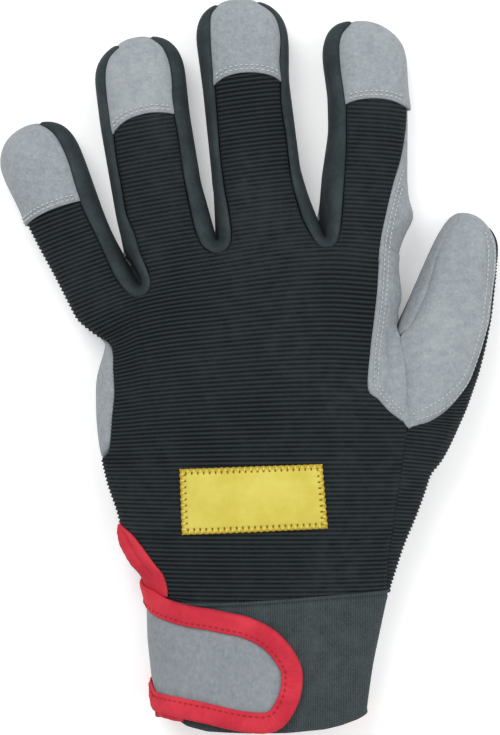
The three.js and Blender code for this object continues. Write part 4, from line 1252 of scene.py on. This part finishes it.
def tape_section(width, low, high, wall):
    """A tape folded round an edge, seen along it: distance in from the edge, and height."""
    middle = (low + high) / 2
    outer = [(width, low), (width * 0.6, low), (1.8, low), (0.7, low + 0.25), (0.1, middle - 0.45),
             (0.0, middle),
             (0.12, middle + 0.55), (0.55, high - 0.3), (1.2, high), (2.4, high + 0.12),
             (width * 0.55, high + 0.05),
             (width * 0.78, high - 0.15), (width * 0.93, high - 0.3), (width, high - 0.45)]
    inner = [(width, high - 1.0), (width * 0.75, high - 1.0), (2.0, high - 0.75), (1.1, high - 0.9),
             (0.75, middle),
             (1.1, low + 0.7), (2.0, low + wall), (width, low + wall)]
    return np.array(outer + inner)


def strap_binding_parts():
    """The red tape folded round the strap's edge."""
    edge = strap_edge(300)
    section = tape_section(7.1, 0.35, STRAP_TAPE_TOP, 0.6)
    along = lengths(edge)
    ripple = 0.10 * np.sin(along * 2 * np.pi / 2.1) + 0.12 * np.sin(along * 0.37)
    ripple = ripple + 0.08 * np.sin(along * 0.9 + 1)
    grid = edge[:, None] + rightward(edge)[:, None] * section[None, :, :1]
    height = section[None, :, 1] + ripple[:, None] * np.isin(np.arange(len(section)), [9, 10, 11])[None]
    run, y = -grid[..., 0], grid[..., 1]
    loops = round_at(run, y, strap_lift(run, y, height))
    return [tube(loops)]


def tube(loops):
    """A closed skin through rings of points, shut at both ends."""
    rows, columns = loops.shape[:2]
    index = np.arange(rows * columns).reshape(rows, columns)
    after = np.roll(index, -1, axis=1)
    quads = np.stack([index[:-1], index[1:], after[1:], after[:-1]], axis=-1).reshape(-1, 4)
    faces = [tuple(f) for f in quads]
    faces.append(tuple(index[0]))
    faces.append(tuple(index[-1][::-1]))
    return loops.reshape(-1, 3), faces


SLIT_INNER = [(120.5, 523), (123, 526), (133, 535), (143, 547.5), (155, 564), (163, 574), (167, 586),
              (168, 597)]
SLIT_OUTER = [(119.8, 524), (118.6, 532), (120, 541), (125.5, 550.5), (131, 560), (136.5, 569),
              (142, 578), (144.5, 590)]


def slit_binding_parts():
    """The rolled tape on the edge of the wrist slit."""
    count = 80
    inner = smooth_line(draw(SLIT_INNER), count)
    outer = smooth_line(draw(SLIT_OUTER), count)
    a = np.column_stack([-run_of(inner), inner[:, 1]])
    b = np.column_stack([-run_of(outer), outer[:, 1]])
    past = np.interp(np.linspace(0, 1, count), [0, 0.12, 0.3, 1], [0.8, 2.6, 4.2, 4.6])
    b[:, 0] -= past
    top = [(0.0, 0.1), (0.02, 0.75), (0.1, 1.0), (0.19, 0.95), (0.25, 0.3), (0.29, 1.0), (0.37, 1.9),
           (0.48, 2.1),
           (0.6, 1.8), (0.72, 1.3), (0.84, 0.9), (0.93, 0.6), (1.0, 0.3)]
    under = [(0.97, 0.25), (0.8, 0.25), (0.6, 0.25), (0.4, 0.2), (0.2, 0.1), (0.02, -0.1)]
    section = np.array(top + under)
    grid = a[:, None] + (b - a)[:, None] * section[None, :, :1]
    along = lengths(a)
    share = np.linspace(0, 1, count)
    soft = np.interp(share, [0, 0.12, 0.6, 0.78, 1], [0.4, 1, 0.9, 0.35, 0.25])
    ripple = 1 + 0.04 * np.sin(along * 0.7) + 0.02 * np.sin(along * 2.1 + 1)
    height = section[None, :, 1] * (soft * ripple)[:, None]
    loops = round_at(-grid[..., 0], grid[..., 1], height)
    return [tube(loops[:, ::-1])]


def hem_binding_parts(edge_row, inner_row, normals):
    """Red tape folded over the palm's wrist edge."""
    inward = unit(inner_row - edge_row)
    along = lengths(edge_row)
    section = np.array([(5.4, 0.35), (3.5, 0.5), (1.0, 0.55), (-0.3, 0.2), (-0.95, -0.5), (-0.85, -1.2),
                        (-0.2, -1.8),
                        (1.2, -2.1), (5.4, -2.0), (5.4, -1.55), (1.0, -1.55), (-0.1, -0.9), (0.0, -0.25),
                        (1.0, 0.02), (5.4, 0.02)])
    wave = 0.25 * np.sin(along * 0.8) + 0.15 * np.sin(along * 2.9)
    loops = edge_row[:, None] + inward[:, None] * section[None, :, :1]
    loops = loops + normals[:, None] * (section[None, :, 1:] * (1 + 0.12 * wave[:, None, None]))
    loops[..., 2] = np.maximum(loops[..., 2], 0.0)
    return [tube(loops), turned_end()]


HEM_END = [(147, 703), (152, 709), (159, 714.5), (168, 718.5), (177, 721), (185, 721.5)]


def turned_end():
    """The end of the hem's tape, turned up beside the strap's foot."""
    line = smooth_line(draw(HEM_END), 44)
    edge = np.column_stack([-run_of(line), line[:, 1]])
    inward = -rightward(edge)
    section = np.array([(0.0, 0.5), (0.25, 1.3), (1.1, 1.9), (2.4, 1.9), (3.6, 1.5), (4.2, 0.6),
                        (3.6, 0.1), (0.6, 0.05)])
    twist = 1 + 0.22 * np.sin(lengths(edge) * 1.7)
    grid = edge[:, None] + inward[:, None] * (section[None, :, :1] * twist[:, None, None])
    return tube(round_at(-grid[..., 0], grid[..., 1], section[None, :, 1] * twist[:, None]))


def hook_patch_parts():
    """The hidden patch of hook tape between the elastic and the strap."""
    x = np.linspace(-14.5, 9.2, 34)
    y = np.linspace(-112.8, -96.2, 26)
    flat = np.stack(np.meshgrid(x, y), axis=-1)
    face = drop_on(flat, 1.05)
    return [walled(face, skin_normal(face), 0.7, 2, 2)]


LABEL_SIZE = (49.0, 22.2)
THREAD_PITCH = 2.05  # of the stitches on the label and on the strap's tape
EDGE_PITCH = 0.68  # of the close threads over the label's edge
LABEL = [(180, 469), (322, 464), (327.5, 528), (182.5, 534.5)]


def label_points(across, down):
    """Plan points of the label, by shares across it and down it."""
    corners = draw(LABEL)
    upper = corners[0] + (corners[1] - corners[0]) * across[..., None]
    lower = corners[3] + (corners[2] - corners[3]) * across[..., None]
    return upper + (lower - upper) * down[..., None]


def label_parts():
    """The sewn label, bare, with its needle rows pressed in."""
    across = np.linspace(0, 1, 150)
    down = np.linspace(1, 0, 70)
    a, d = np.meshgrid(across, down)
    flat = label_points(a, d)
    width, height = LABEL_SIZE
    from_side = np.minimum(a, 1 - a) * width
    from_end = np.minimum(d, 1 - d) * height
    gap = np.minimum(from_side, from_end)
    run = np.where(from_side < from_end, d * height, a * width)
    # sewn down in a row of stitches near the edge, with the cloth puffed up between them
    pull = np.exp(-((gap - 1.5) / 0.55) ** 2)
    pinch = 0.5 + 0.5 * np.cos(2 * np.pi * run / THREAD_PITCH)
    waves = 0.16 * np.sin(a * 21 + 3 * d) * np.exp(-(((d - 0.85) / 0.2) ** 2)) + 0.1 * np.sin(a * 9 - 2 * d)
    lift = 0.95 + waves
    lift = lift - pull * (0.18 + 0.3 * pinch)
    rim = np.exp(-(gap / 0.5) ** 2)
    lift = lift + rim * (0.12 * np.cos(2 * np.pi * run / EDGE_PITCH) - 0.15)
    face = drop_on(flat)
    normals = skin_normal(face)
    wobble = 0.16 * np.cos(2 * np.pi * run / THREAD_PITCH) * np.exp(-(gap / 0.7) ** 2)
    centre = flat.reshape(-1, 2).mean(axis=0)
    out = flat - centre
    out /= np.maximum(np.linalg.norm(out, axis=-1, keepdims=True), 1)
    face[..., :2] += out * wobble[..., None]
    face = face + normals * lift[..., None]
    points, faces = walled(face, normals, 0.8, 2, 2)
    return [(points, faces)], chart_of(points, gap, run)


# Stitches


def thread_row(line, normals, pitch, length, thick, turned=0.0, height=0.1):
    """Sewn stitches along a line: short rounded bars of thread, sunk into the cloth at their ends."""
    run = lengths(line)
    count = int(run[-1] / pitch)
    at = (np.arange(count) + 0.5) * run[-1] / max(count, 1)
    centre = points_at(at, run, line)
    up = unit(points_at(at, run, normals))
    ahead = points_at(at, run, np.gradient(line, axis=0))
    ahead = unit(ahead - up * (ahead * up).sum(axis=1, keepdims=True))
    aside = np.cross(up, ahead)
    ahead = ahead * math.cos(turned) + aside * math.sin(turned)
    aside = np.cross(up, ahead)
    stations = np.array([-1.0, -0.85, -0.5, 0.0, 0.5, 0.85, 1.0])
    around = np.linspace(0, 2 * np.pi, 8, endpoint=False)
    size = np.sqrt(1 - (0.93 * stations) ** 2) * thick / 2
    lift = height + thick * 0.2 - thick * 0.75 * stations**4
    middle = centre[:, None] + ahead[:, None] * (stations * length / 2)[:, None] + up[:, None] * lift[:, None]
    out = aside[:, None] * np.cos(around)[:, None] + up[:, None] * np.sin(around)[:, None]
    return [tube(loops) for loops in middle[:, :, None] + out[:, None] * size[:, None, None]]


def strap_stitches():
    """The stitch row near the inner edge of the strap's tape."""
    edge = strap_edge(300)
    flat = (edge + rightward(edge) * 5.7)[14:-14]
    line = round_at(-flat[:, 0], flat[:, 1], strap_lift(-flat[:, 0], flat[:, 1], STRAP_TAPE_TOP))
    return thread_row(line, skin_normal(line), THREAD_PITCH, 1.25, 0.45, height=-0.02)


def label_stitches():
    """Short threads over the label's edge."""
    rows = []
    corners = draw(LABEL)
    centre = corners.mean(axis=0)
    for start, end in zip(corners, np.roll(corners, -1, axis=0)):
        t = np.linspace(0, 1, 60)[:, None]
        side = start * (1 - t) + end * t
        inward = unit(np.array([-(end - start)[1], (end - start)[0]]))
        inward *= np.sign((centre - start) @ inward)
        line = drop_on(side[2:-2] + inward * 0.85)
        normals = skin_normal(line)
        rows += thread_row(line + normals * 0.8, normals, THREAD_PITCH, 1.3, 0.75, turned=math.pi / 2,
                           height=0.0)
    return rows


# Materials. Lengths in them are in metres, as the pieces are.


FULL_TURN = 6.2832


def new_group(name, inputs, outputs):
    tree = bpy.data.node_groups.new(name, "ShaderNodeTree")
    for label, kind, value in inputs:
        socket = tree.interface.new_socket(label, in_out="INPUT", socket_type=f"NodeSocket{kind}")
        if value is not None:
            socket.default_value = value
    for label in outputs:
        tree.interface.new_socket(label, in_out="OUTPUT", socket_type="NodeSocketFloat")
    return tree, tree.nodes.new("NodeGroupInput"), tree.nodes.new("NodeGroupOutput")


def wire(tree, start, end):
    tree.links.new(start, end)


def number(tree, kind, first, second=None, third=None):
    """One step of arithmetic; each value is a number or another node's output."""
    node = tree.nodes.new("ShaderNodeMath")
    node.operation = kind
    for socket, value in zip(node.inputs, (first, second, third)):
        if isinstance(value, (int, float)):
            socket.default_value = value
        elif value is not None:
            wire(tree, value, socket)
    return node.outputs[0]


def weighed(tree, first, first_share, second, second_share):
    """Two values added up by their shares."""
    return number(tree, "MULTIPLY_ADD", first, first_share, number(tree, "MULTIPLY", second, second_share))


def scaled(tree, value, low, high, new_low=0.0, new_high=1.0):
    node = tree.nodes.new("ShaderNodeMapRange")
    wire(tree, value, node.inputs["Value"])
    for label, amount in (("From Min", low), ("From Max", high), ("To Min", new_low), ("To Max", new_high)):
        node.inputs[label].default_value = amount
    return node.outputs["Result"]


def cloudy(tree, position, scale, detail=3.0, rough=0.55, stretch=None):
    node = tree.nodes.new("ShaderNodeTexNoise")
    if stretch:
        mapping = tree.nodes.new("ShaderNodeMapping")
        mapping.inputs["Scale"].default_value = stretch
        wire(tree, position, mapping.inputs["Vector"])
        position = mapping.outputs["Vector"]
    wire(tree, position, node.inputs["Vector"])
    if isinstance(scale, (int, float)):
        node.inputs["Scale"].default_value = scale
    else:
        wire(tree, scale, node.inputs["Scale"])
    node.inputs["Detail"].default_value = detail
    node.inputs["Roughness"].default_value = rough
    return node.outputs["Fac"]


def blend(tree, share, first, second):
    """A colour between two; each is a colour or another node's output."""
    node = tree.nodes.new("ShaderNodeMix")
    node.data_type = "RGBA"
    wire(tree, share, node.inputs[0])
    for socket, value in ((node.inputs[6], first), (node.inputs[7], second)):
        if isinstance(value, tuple):
            socket.default_value = (*value, 1)
        else:
            wire(tree, value, socket)
    return node.outputs[2]


def nap_group():
    """Brushed fibres: broad rubbed patches, short flecks and the fibres themselves."""
    inputs = [("Position", "Vector", None), ("Patch Scale", "Float", 120.0), ("Fibre Scale", "Float", 2600.0)]
    tree, enter, leave = new_group("brushed nap", inputs, ["Patches", "Flecks", "Fibres"])
    place = enter.outputs["Position"]
    patches = cloudy(tree, place, enter.outputs["Patch Scale"], 4.0, 0.6)
    wire(tree, scaled(tree, patches, 0.36, 0.66), leave.inputs["Patches"])
    fleck_scale = number(tree, "MULTIPLY", enter.outputs["Fibre Scale"], 0.42)
    flecks = cloudy(tree, place, fleck_scale, 3.0, 0.7)
    wire(tree, scaled(tree, flecks, 0.34, 0.7), leave.inputs["Flecks"])
    fibres = cloudy(tree, place, enter.outputs["Fibre Scale"], 4.0, 0.75)
    wire(tree, fibres, leave.inputs["Fibres"])
    return tree


def weave_group():
    """Warp and weft threads that pass over each other."""
    inputs = [("Position", "Vector", None), ("Warp Pitch", "Float", 0.0006), ("Weft Pitch", "Float", 0.0006)]
    tree, enter, leave = new_group("woven threads", inputs, ["Threads", "Unevenness"])
    split = tree.nodes.new("ShaderNodeSeparateXYZ")
    wire(tree, enter.outputs["Position"], split.inputs[0])
    across = number(tree, "MULTIPLY_ADD", split.outputs[2], 0.7, split.outputs[0])
    waves = []
    for place, pitch in ((across, "Warp Pitch"), (split.outputs[1], "Weft Pitch")):
        turns = number(tree, "DIVIDE", place, enter.outputs[pitch])
        waves.append(number(tree, "SINE", number(tree, "MULTIPLY", turns, FULL_TURN)))
    threads = number(tree, "MULTIPLY_ADD", number(tree, "MULTIPLY", *waves), 0.5, 0.5)
    wire(tree, threads, leave.inputs["Threads"])
    wire(tree, cloudy(tree, enter.outputs["Position"], 900.0, 3.0, 0.6), leave.inputs["Unevenness"])
    return tree


def wear_group():
    """Dust and rubbing: soft lighter clouds over a cloth."""
    inputs = [("Position", "Vector", None), ("Amount", "Float", 0.5)]
    tree, enter, leave = new_group("rubbed clouds", inputs, ["Mask"])
    broad = cloudy(tree, enter.outputs["Position"], 28.0, 3.0, 0.5)
    fine = cloudy(tree, enter.outputs["Position"], 210.0, 4.0, 0.65)
    both = number(tree, "MULTIPLY", scaled(tree, broad, 0.35, 0.7), scaled(tree, fine, 0.3, 0.7))
    wire(tree, number(tree, "MULTIPLY", both, enter.outputs["Amount"]), leave.inputs["Mask"])
    return tree


NAP = nap_group()
WEAVE = weave_group()
RUBBED = wear_group()


def start_material(name, roughness, sheen=0.0):
    """A new material, its node tree, and the place on the piece as a position."""
    material = bpy.data.materials.new(name)
    material.use_nodes = True
    tree = material.node_tree
    shader = tree.nodes["Principled BSDF"]
    shader.inputs["Roughness"].default_value = roughness
    shader.inputs["Specular IOR Level"].default_value = 0.12
    shader.inputs["Sheen Weight"].default_value = sheen
    shader.inputs["Sheen Roughness"].default_value = 0.5
    place = tree.nodes.new("ShaderNodeTexCoord").outputs["Object"]
    return material, tree, place


def use_group(tree, group, place, **values):
    node = tree.nodes.new("ShaderNodeGroup")
    node.node_tree = group
    wire(tree, place, node.inputs["Position"])
    for label, value in values.items():
        node.inputs[label.replace("_", " ")].default_value = value
    return node.outputs


def finished(material, colour, height, distance, strength, rough):
    """The material with its colour, its bump and its roughness wired to the shader."""
    tree = material.node_tree
    shader = tree.nodes["Principled BSDF"]
    bump = tree.nodes.new("ShaderNodeBump")
    bump.inputs["Distance"].default_value = distance
    bump.inputs["Strength"].default_value = strength
    wire(tree, height, bump.inputs["Height"])
    wire(tree, bump.outputs["Normal"], shader.inputs["Normal"])
    wire(tree, colour, shader.inputs["Base Color"])
    wire(tree, rough, shader.inputs["Roughness"])
    return material


def suede_material(name, dark, light, rubbed, patch_scale=430.0):
    material, tree, place = start_material(name, 0.95, 0.08)
    nap = use_group(tree, NAP, place, Patch_Scale=patch_scale, Fibre_Scale=2300.0)
    clouds = use_group(tree, RUBBED, place, Amount=0.45)
    share = weighed(tree, nap["Flecks"], 0.6, nap["Patches"], 0.4)
    colour = blend(tree, share, dark, light)
    colour = blend(tree, clouds["Mask"], colour, rubbed)
    height = weighed(tree, nap["Fibres"], 0.6, nap["Flecks"], 0.4)
    rough = scaled(tree, nap["Flecks"], 0.0, 1.0, 0.85, 1.0)
    return finished(material, colour, height, 0.00022, 0.8, rough)


def ribbed_material():
    """Dark stretch fabric: painted highlight on the rib crests and painted shade in the valleys, with the
    small stitches of the knit.
    """
    material, tree, place = start_material("ribbed_fabric", 0.85, 0.0)
    cloth = tree.nodes.new("ShaderNodeUVMap")
    cloth.uv_map = "cloth"
    split = tree.nodes.new("ShaderNodeSeparateXYZ")
    wire(tree, cloth.outputs["UV"], split.inputs[0])
    turns = number(tree, "MULTIPLY", split.outputs[1], 2 * math.pi / RIB)
    crest = number(tree, "MULTIPLY_ADD", number(tree, "COSINE", turns), 0.5, 0.5)
    knit = number(tree, "SINE", number(tree, "MULTIPLY", split.outputs[0], 2 * math.pi / 0.62))
    rows = number(tree, "SINE", number(tree, "MULTIPLY", split.outputs[1], 2 * math.pi / (RIB / 3)))
    mesh = number(tree, "MULTIPLY_ADD", number(tree, "MULTIPLY", knit, rows), 0.5, 0.5)
    nap = use_group(tree, NAP, place, Patch_Scale=60.0, Fibre_Scale=2400.0)
    clouds = use_group(tree, RUBBED, place, Amount=0.55)
    # painted light and shade: the colour runs from dark in the rib valleys to light on the rib crests, on top
    # of the modelled ribs
    lit = number(tree, "MULTIPLY", crest, number(tree, "MULTIPLY_ADD", mesh, 0.45, 0.6))
    lit = number(tree, "MULTIPLY", lit, scaled(tree, nap["Flecks"], 0.0, 1.0, 0.75, 1.15))
    colour = blend(tree, lit, (0.0055, 0.0072, 0.0082), (0.032, 0.041, 0.0455))
    colour = blend(tree, clouds["Mask"], colour, (0.042, 0.054, 0.057))
    height = weighed(tree, mesh, 0.7, nap["Fibres"], 0.5)
    rough = scaled(tree, crest, 0.0, 1.0, 0.95, 0.78)
    return finished(material, colour, height, 0.00018, 0.9, rough)


def side_material():
    """Smooth stretch fabric between the fingers."""
    material, tree, place = start_material("side_fabric", 0.8, 0.02)
    nap = use_group(tree, NAP, place, Patch_Scale=110.0, Fibre_Scale=3200.0)
    weave = use_group(tree, WEAVE, place, Warp_Pitch=0.00045, Weft_Pitch=0.0005)
    share = weighed(tree, nap["Patches"], 0.5, nap["Flecks"], 0.4)
    colour = blend(tree, share, (0.02, 0.029, 0.032), (0.048, 0.063, 0.068))
    height = weighed(tree, weave["Threads"], 0.5, nap["Fibres"], 0.5)
    rough = scaled(tree, nap["Patches"], 0.0, 1.0, 0.9, 0.75)
    return finished(material, colour, height, 0.0001, 0.7, rough)


def elastic_material():
    """Woven elastic: narrow upright columns with a herringbone of fine threads."""
    material, tree, place = start_material("woven_elastic", 0.8, 0.0)
    split = tree.nodes.new("ShaderNodeSeparateXYZ")
    wire(tree, place, split.inputs[0])
    across = number(tree, "DIVIDE", split.outputs[0], 0.0016)
    ridge = number(tree, "PINGPONG", across, 0.5)
    slant = number(tree, "MULTIPLY_ADD", ridge, 1.6, number(tree, "DIVIDE", split.outputs[1], 0.00075))
    threads = number(tree, "SINE", number(tree, "MULTIPLY", slant, FULL_TURN))
    threads = number(tree, "MULTIPLY_ADD", threads, 0.5, 0.5)
    upright = number(tree, "SINE", number(tree, "MULTIPLY", across, FULL_TURN * 2))
    upright = number(tree, "MULTIPLY_ADD", upright, 0.5, 0.5)
    weave = use_group(tree, WEAVE, place, Warp_Pitch=0.0008, Weft_Pitch=0.0004)
    clouds = use_group(tree, RUBBED, place, Amount=0.5)
    lit = weighed(tree, threads, 0.5, upright, 0.35)
    lit = number(tree, "MULTIPLY", lit, scaled(tree, weave["Unevenness"], 0.3, 0.7, 0.7, 1.2))
    colour = blend(tree, lit, (0.016, 0.022, 0.024), (0.078, 0.098, 0.104))
    colour = blend(tree, clouds["Mask"], colour, (0.085, 0.105, 0.11))
    height = weighed(tree, threads, 0.5, upright, 0.6)
    rough = scaled(tree, weave["Unevenness"], 0.3, 0.7, 0.9, 0.75)
    return finished(material, colour, height, 0.00022, 0.9, rough)


def tape_material():
    """Red edge tape, closely woven."""
    material, tree, place = start_material("binding_tape", 0.75, 0.0)
    weave = use_group(tree, WEAVE, place, Warp_Pitch=0.0005, Weft_Pitch=0.00055)
    nap = use_group(tree, NAP, place, Patch_Scale=90.0, Fibre_Scale=2600.0)
    lit = weighed(tree, nap["Patches"], 0.55, weave["Threads"], 0.35)
    colour = blend(tree, lit, (0.47, 0.02, 0.04), (0.72, 0.05, 0.075))
    height = weighed(tree, weave["Threads"], 0.6, nap["Fibres"], 0.4)
    rough = scaled(tree, nap["Flecks"], 0.0, 1.0, 0.85, 0.68)
    return finished(material, colour, height, 0.00014, 0.8, rough)


def label_material():
    """Bare yellow label cloth with a darker overlocked edge and needle holes."""
    material, tree, place = start_material("label_cloth", 0.7, 0.0)
    cloth = tree.nodes.new("ShaderNodeUVMap")
    cloth.uv_map = "cloth"
    split = tree.nodes.new("ShaderNodeSeparateXYZ")
    wire(tree, cloth.outputs["UV"], split.inputs[0])
    gap, run = split.outputs[0], split.outputs[1]
    weave = use_group(tree, WEAVE, place, Warp_Pitch=0.0004, Weft_Pitch=0.0004)
    nap = use_group(tree, NAP, place, Patch_Scale=80.0, Fibre_Scale=2400.0)
    lit = weighed(tree, nap["Patches"], 0.6, weave["Threads"], 0.3)
    colour = blend(tree, lit, (0.6, 0.5, 0.075), (0.76, 0.67, 0.15))
    bead = number(tree, "COSINE", number(tree, "MULTIPLY", run, 2 * math.pi / EDGE_PITCH))
    edge = number(tree, "MULTIPLY", scaled(tree, gap, 1.25, 0.5), scaled(tree, bead, -1.0, 1.0, 0.55, 1.0))
    colour = blend(tree, edge, colour, (0.42, 0.27, 0.012))
    near = number(tree, "ABSOLUTE", number(tree, "SUBTRACT", gap, 1.55))
    ring = scaled(tree, near, 0.65, 0.3)
    pitch = number(tree, "COSINE", number(tree, "MULTIPLY", run, 2 * math.pi / THREAD_PITCH))
    hole = number(tree, "MULTIPLY", ring, scaled(tree, pitch, 0.45, 0.85))
    colour = blend(tree, hole, colour, (0.2, 0.12, 0.008))
    height = weighed(tree, weave["Threads"], 0.6, hole, -1.2)
    rough = scaled(tree, nap["Patches"], 0.0, 1.0, 0.8, 0.62)
    return finished(material, colour, height, 0.00015, 0.8, rough)


def thread_material(name, dark, light):
    material, tree, place = start_material(name, 0.7, 0.0)
    weave = use_group(tree, WEAVE, place, Warp_Pitch=0.00035, Weft_Pitch=0.00035)
    colour = blend(tree, weave["Threads"], dark, light)
    rough = scaled(tree, weave["Unevenness"], 0.3, 0.7, 0.8, 0.6)
    return finished(material, colour, weave["Threads"], 0.0001, 0.6, rough)


def hook_material():
    """Hook tape: close rows of small dark hooks."""
    material, tree, place = start_material("hook_tape", 0.55)
    weave = use_group(tree, WEAVE, place, Warp_Pitch=0.0018, Weft_Pitch=0.0016)
    colour = blend(tree, weave["Threads"], (0.006, 0.006, 0.007), (0.022, 0.024, 0.025))
    rough = scaled(tree, weave["Unevenness"], 0.3, 0.7, 0.65, 0.45)
    return finished(material, colour, weave["Threads"], 0.0005, 1.0, rough)


def floor_material():
    material, tree, place = start_material("studio_floor", 0.9)
    shader = tree.nodes["Principled BSDF"]
    shader.inputs["Emission Color"].default_value = (1, 1, 1, 1)
    shader.inputs["Emission Strength"].default_value = 0.22
    clouds = use_group(tree, RUBBED, place, Amount=0.3)
    wire(tree, blend(tree, clouds["Mask"], (0.92, 0.92, 0.92), (0.9, 0.9, 0.9)), shader.inputs["Base Color"])
    return material


# The glove's pieces

suede = suede_material("suede", (0.22, 0.247, 0.268), (0.345, 0.375, 0.398), (0.43, 0.457, 0.475))
ribbed = ribbed_material()
side_cloth = side_material()
tape = tape_material()

back, back_chart = back_parts()
make_piece("ribbed_back", back, ribbed, "back_panel", back_chart)
for name in NAMES:
    make_piece(f"fingertip_cap_{name}", cap_parts(name), suede, f"tip_cap_{name}")
for k, (one, two) in enumerate(zip(NAMES[:-1], NAMES[1:])):
    strip = fourchette_parts(k)
    make_piece(f"side_strip_{one}_{two}", strip, side_cloth, f"fourchette_{one}_{two}")
palm, hem = palm_parts()
make_piece("palm_leather", palm, suede, "palm_panel")
make_piece("hem_tape", hem, tape, "hem_binding")
thumb_top, thumb_under, thumb_side, thumb_chart = thumb_parts()
make_piece("thumb_top", thumb_top, suede, "thumb_top_panel")
make_piece("thumb_under", thumb_under, suede, "thumb_under_panel")
make_piece("thumb_ribbed_side", thumb_side, ribbed, "thumb_back_panel", thumb_chart)
make_piece("wrist_elastic", cuff_parts(), elastic_material(), "cuff_band")
strap_suede = suede_material("strap_leather", (0.19, 0.215, 0.235), (0.285, 0.31, 0.33),
                             (0.33, 0.355, 0.375), 480.0)
make_piece("closing_strap", strap_parts(), strap_suede, "strap")
make_piece("strap_edge_tape", strap_binding_parts(), tape, "strap_binding")
make_piece("slit_tape", slit_binding_parts(), tape, "slit_binding")
make_piece("hook_tape_patch", hook_patch_parts(), hook_material(), "hook_patch")
label, label_chart = label_parts()
make_piece("sewn_label", label, label_material(), "label", label_chart)

# Its stitches

grey_thread = thread_material("grey_thread", (0.42, 0.44, 0.45), (0.66, 0.68, 0.69))
red_thread = thread_material("red_thread", (0.3, 0.012, 0.025), (0.5, 0.03, 0.05))
yellow_thread = thread_material("yellow_thread", (0.62, 0.45, 0.05), (0.9, 0.78, 0.2))
rows = []
for k, name in enumerate(NAMES):
    edge = draw(CAP_EDGES[k])
    for step in (1.1, 2.4):
        first = 18 if name == "little" else 4
        last = -9 if name == "index" else -4
        line = drop_on(smooth_line(edge + FINGERS[name]["ahead"] * step, 70)[first:last])
        normals = skin_normal(line)
        rows += thread_row(line + normals * 1.05, normals, 1.7, 1.1, 0.5)
WRAP_EDGE = [(404, 422), (392, 413), (385, 406), (377, 397), (370, 386), (370, 368), (371, 350),
             (375, 318), (378, 290),
             (381, 243), (386, 216), (394, 184), (399, 168)]
for step, end in ((1.35, 200), (2.7, 186)):
    line = smooth_line(draw(WRAP_EDGE), 200)
    line = drop_on(smooth_line(line + rightward(line) * step, 200)[4:end])
    normals = skin_normal(line)
    rows += thread_row(line + normals * 0.4, normals, 1.6, 0.95, 0.45)
THUMB_ROWS = [
    [(489, 236), (492.5, 247), (493, 261), (491.5, 278), (489, 296), (486.5, 312), (484, 331), (480, 345),
     (475, 361),
     (470, 374), (464, 386), (455, 397.5), (444, 407.5), (430.5, 415), (415.5, 420.5)],
    [(484, 232), (487, 246), (487, 261), (486, 278), (484, 296), (482, 312), (479.5, 330), (475, 344),
     (470, 360),
     (464, 373), (459, 382), (451, 390.5), (442, 398), (432, 404.5), (423, 409.5), (411.5, 415)],
]
for drawing in THUMB_ROWS:
    line = drop_on(smooth_line(draw(drawing), 120))
    normals = skin_normal(line)
    rows += thread_row(line + normals * 0.5, normals, 1.6, 1.0, 0.45)
make_piece("grey_stitches", rows, grey_thread, None)
make_piece("red_stitches", strap_stitches(), red_thread, None)
make_piece("yellow_stitches", label_stitches(), yellow_thread, None)


# Studio


def area_light(name, place, size, power):
    lamp = bpy.data.lights.new(name, "AREA")
    lamp.size = size
    lamp.energy = power
    item = bpy.data.objects.new(name, lamp)
    item.location = place
    item.rotation_euler = (-Vector(place)).to_track_quat("-Z", "Y").to_euler()
    bpy.context.scene.collection.objects.link(item)


FLOOR_REACH = 3.0
FLOOR_LEVEL = -0.0002  # just under the palm, so that the two don't share a plane
floor_mesh = bpy.data.meshes.new("floor")
corners = [(x * FLOOR_REACH, y * FLOOR_REACH, FLOOR_LEVEL) for x, y in ((-1, -1), (1, -1), (1, 1), (-1, 1))]
floor_mesh.from_pydata(corners, [], [(0, 1, 2, 3)])
floor_mesh.materials.append(floor_material())
floor = bpy.data.objects.new("floor", floor_mesh)
bpy.context.scene.collection.objects.link(floor)
area_light("key_light", (-0.45, 0.75, 1.15), 0.7, 9)
area_light("fill_light", (0.8, -0.1, 1.0), 0.9, 5)
area_light("top_light", (0.0, 0.0, 1.6), 1.2, 3.4)
world = bpy.data.worlds.new("studio")
world.use_nodes = True
world.node_tree.nodes["Background"].inputs["Color"].default_value = (1, 1, 1, 1)
world.node_tree.nodes["Background"].inputs["Strength"].default_value = 0.55
bpy.context.scene.world = world
bpy.context.scene.view_settings.view_transform = "Standard"

SHEET_TALL = 0.2514  # height of the drawing sheet, which fills the frame at SHEET_HEIGHT
lens = bpy.data.cameras.new("camera")
lens.lens = 85
lens.sensor_fit = "VERTICAL"
lens.sensor_height = 24.0
camera = bpy.data.objects.new("camera", lens)
camera.location = (0.0002, -0.0003, SHEET_TALL / (24.0 / 85) + 0.012)
bpy.context.scene.collection.objects.link(camera)
bpy.context.scene.camera = camera
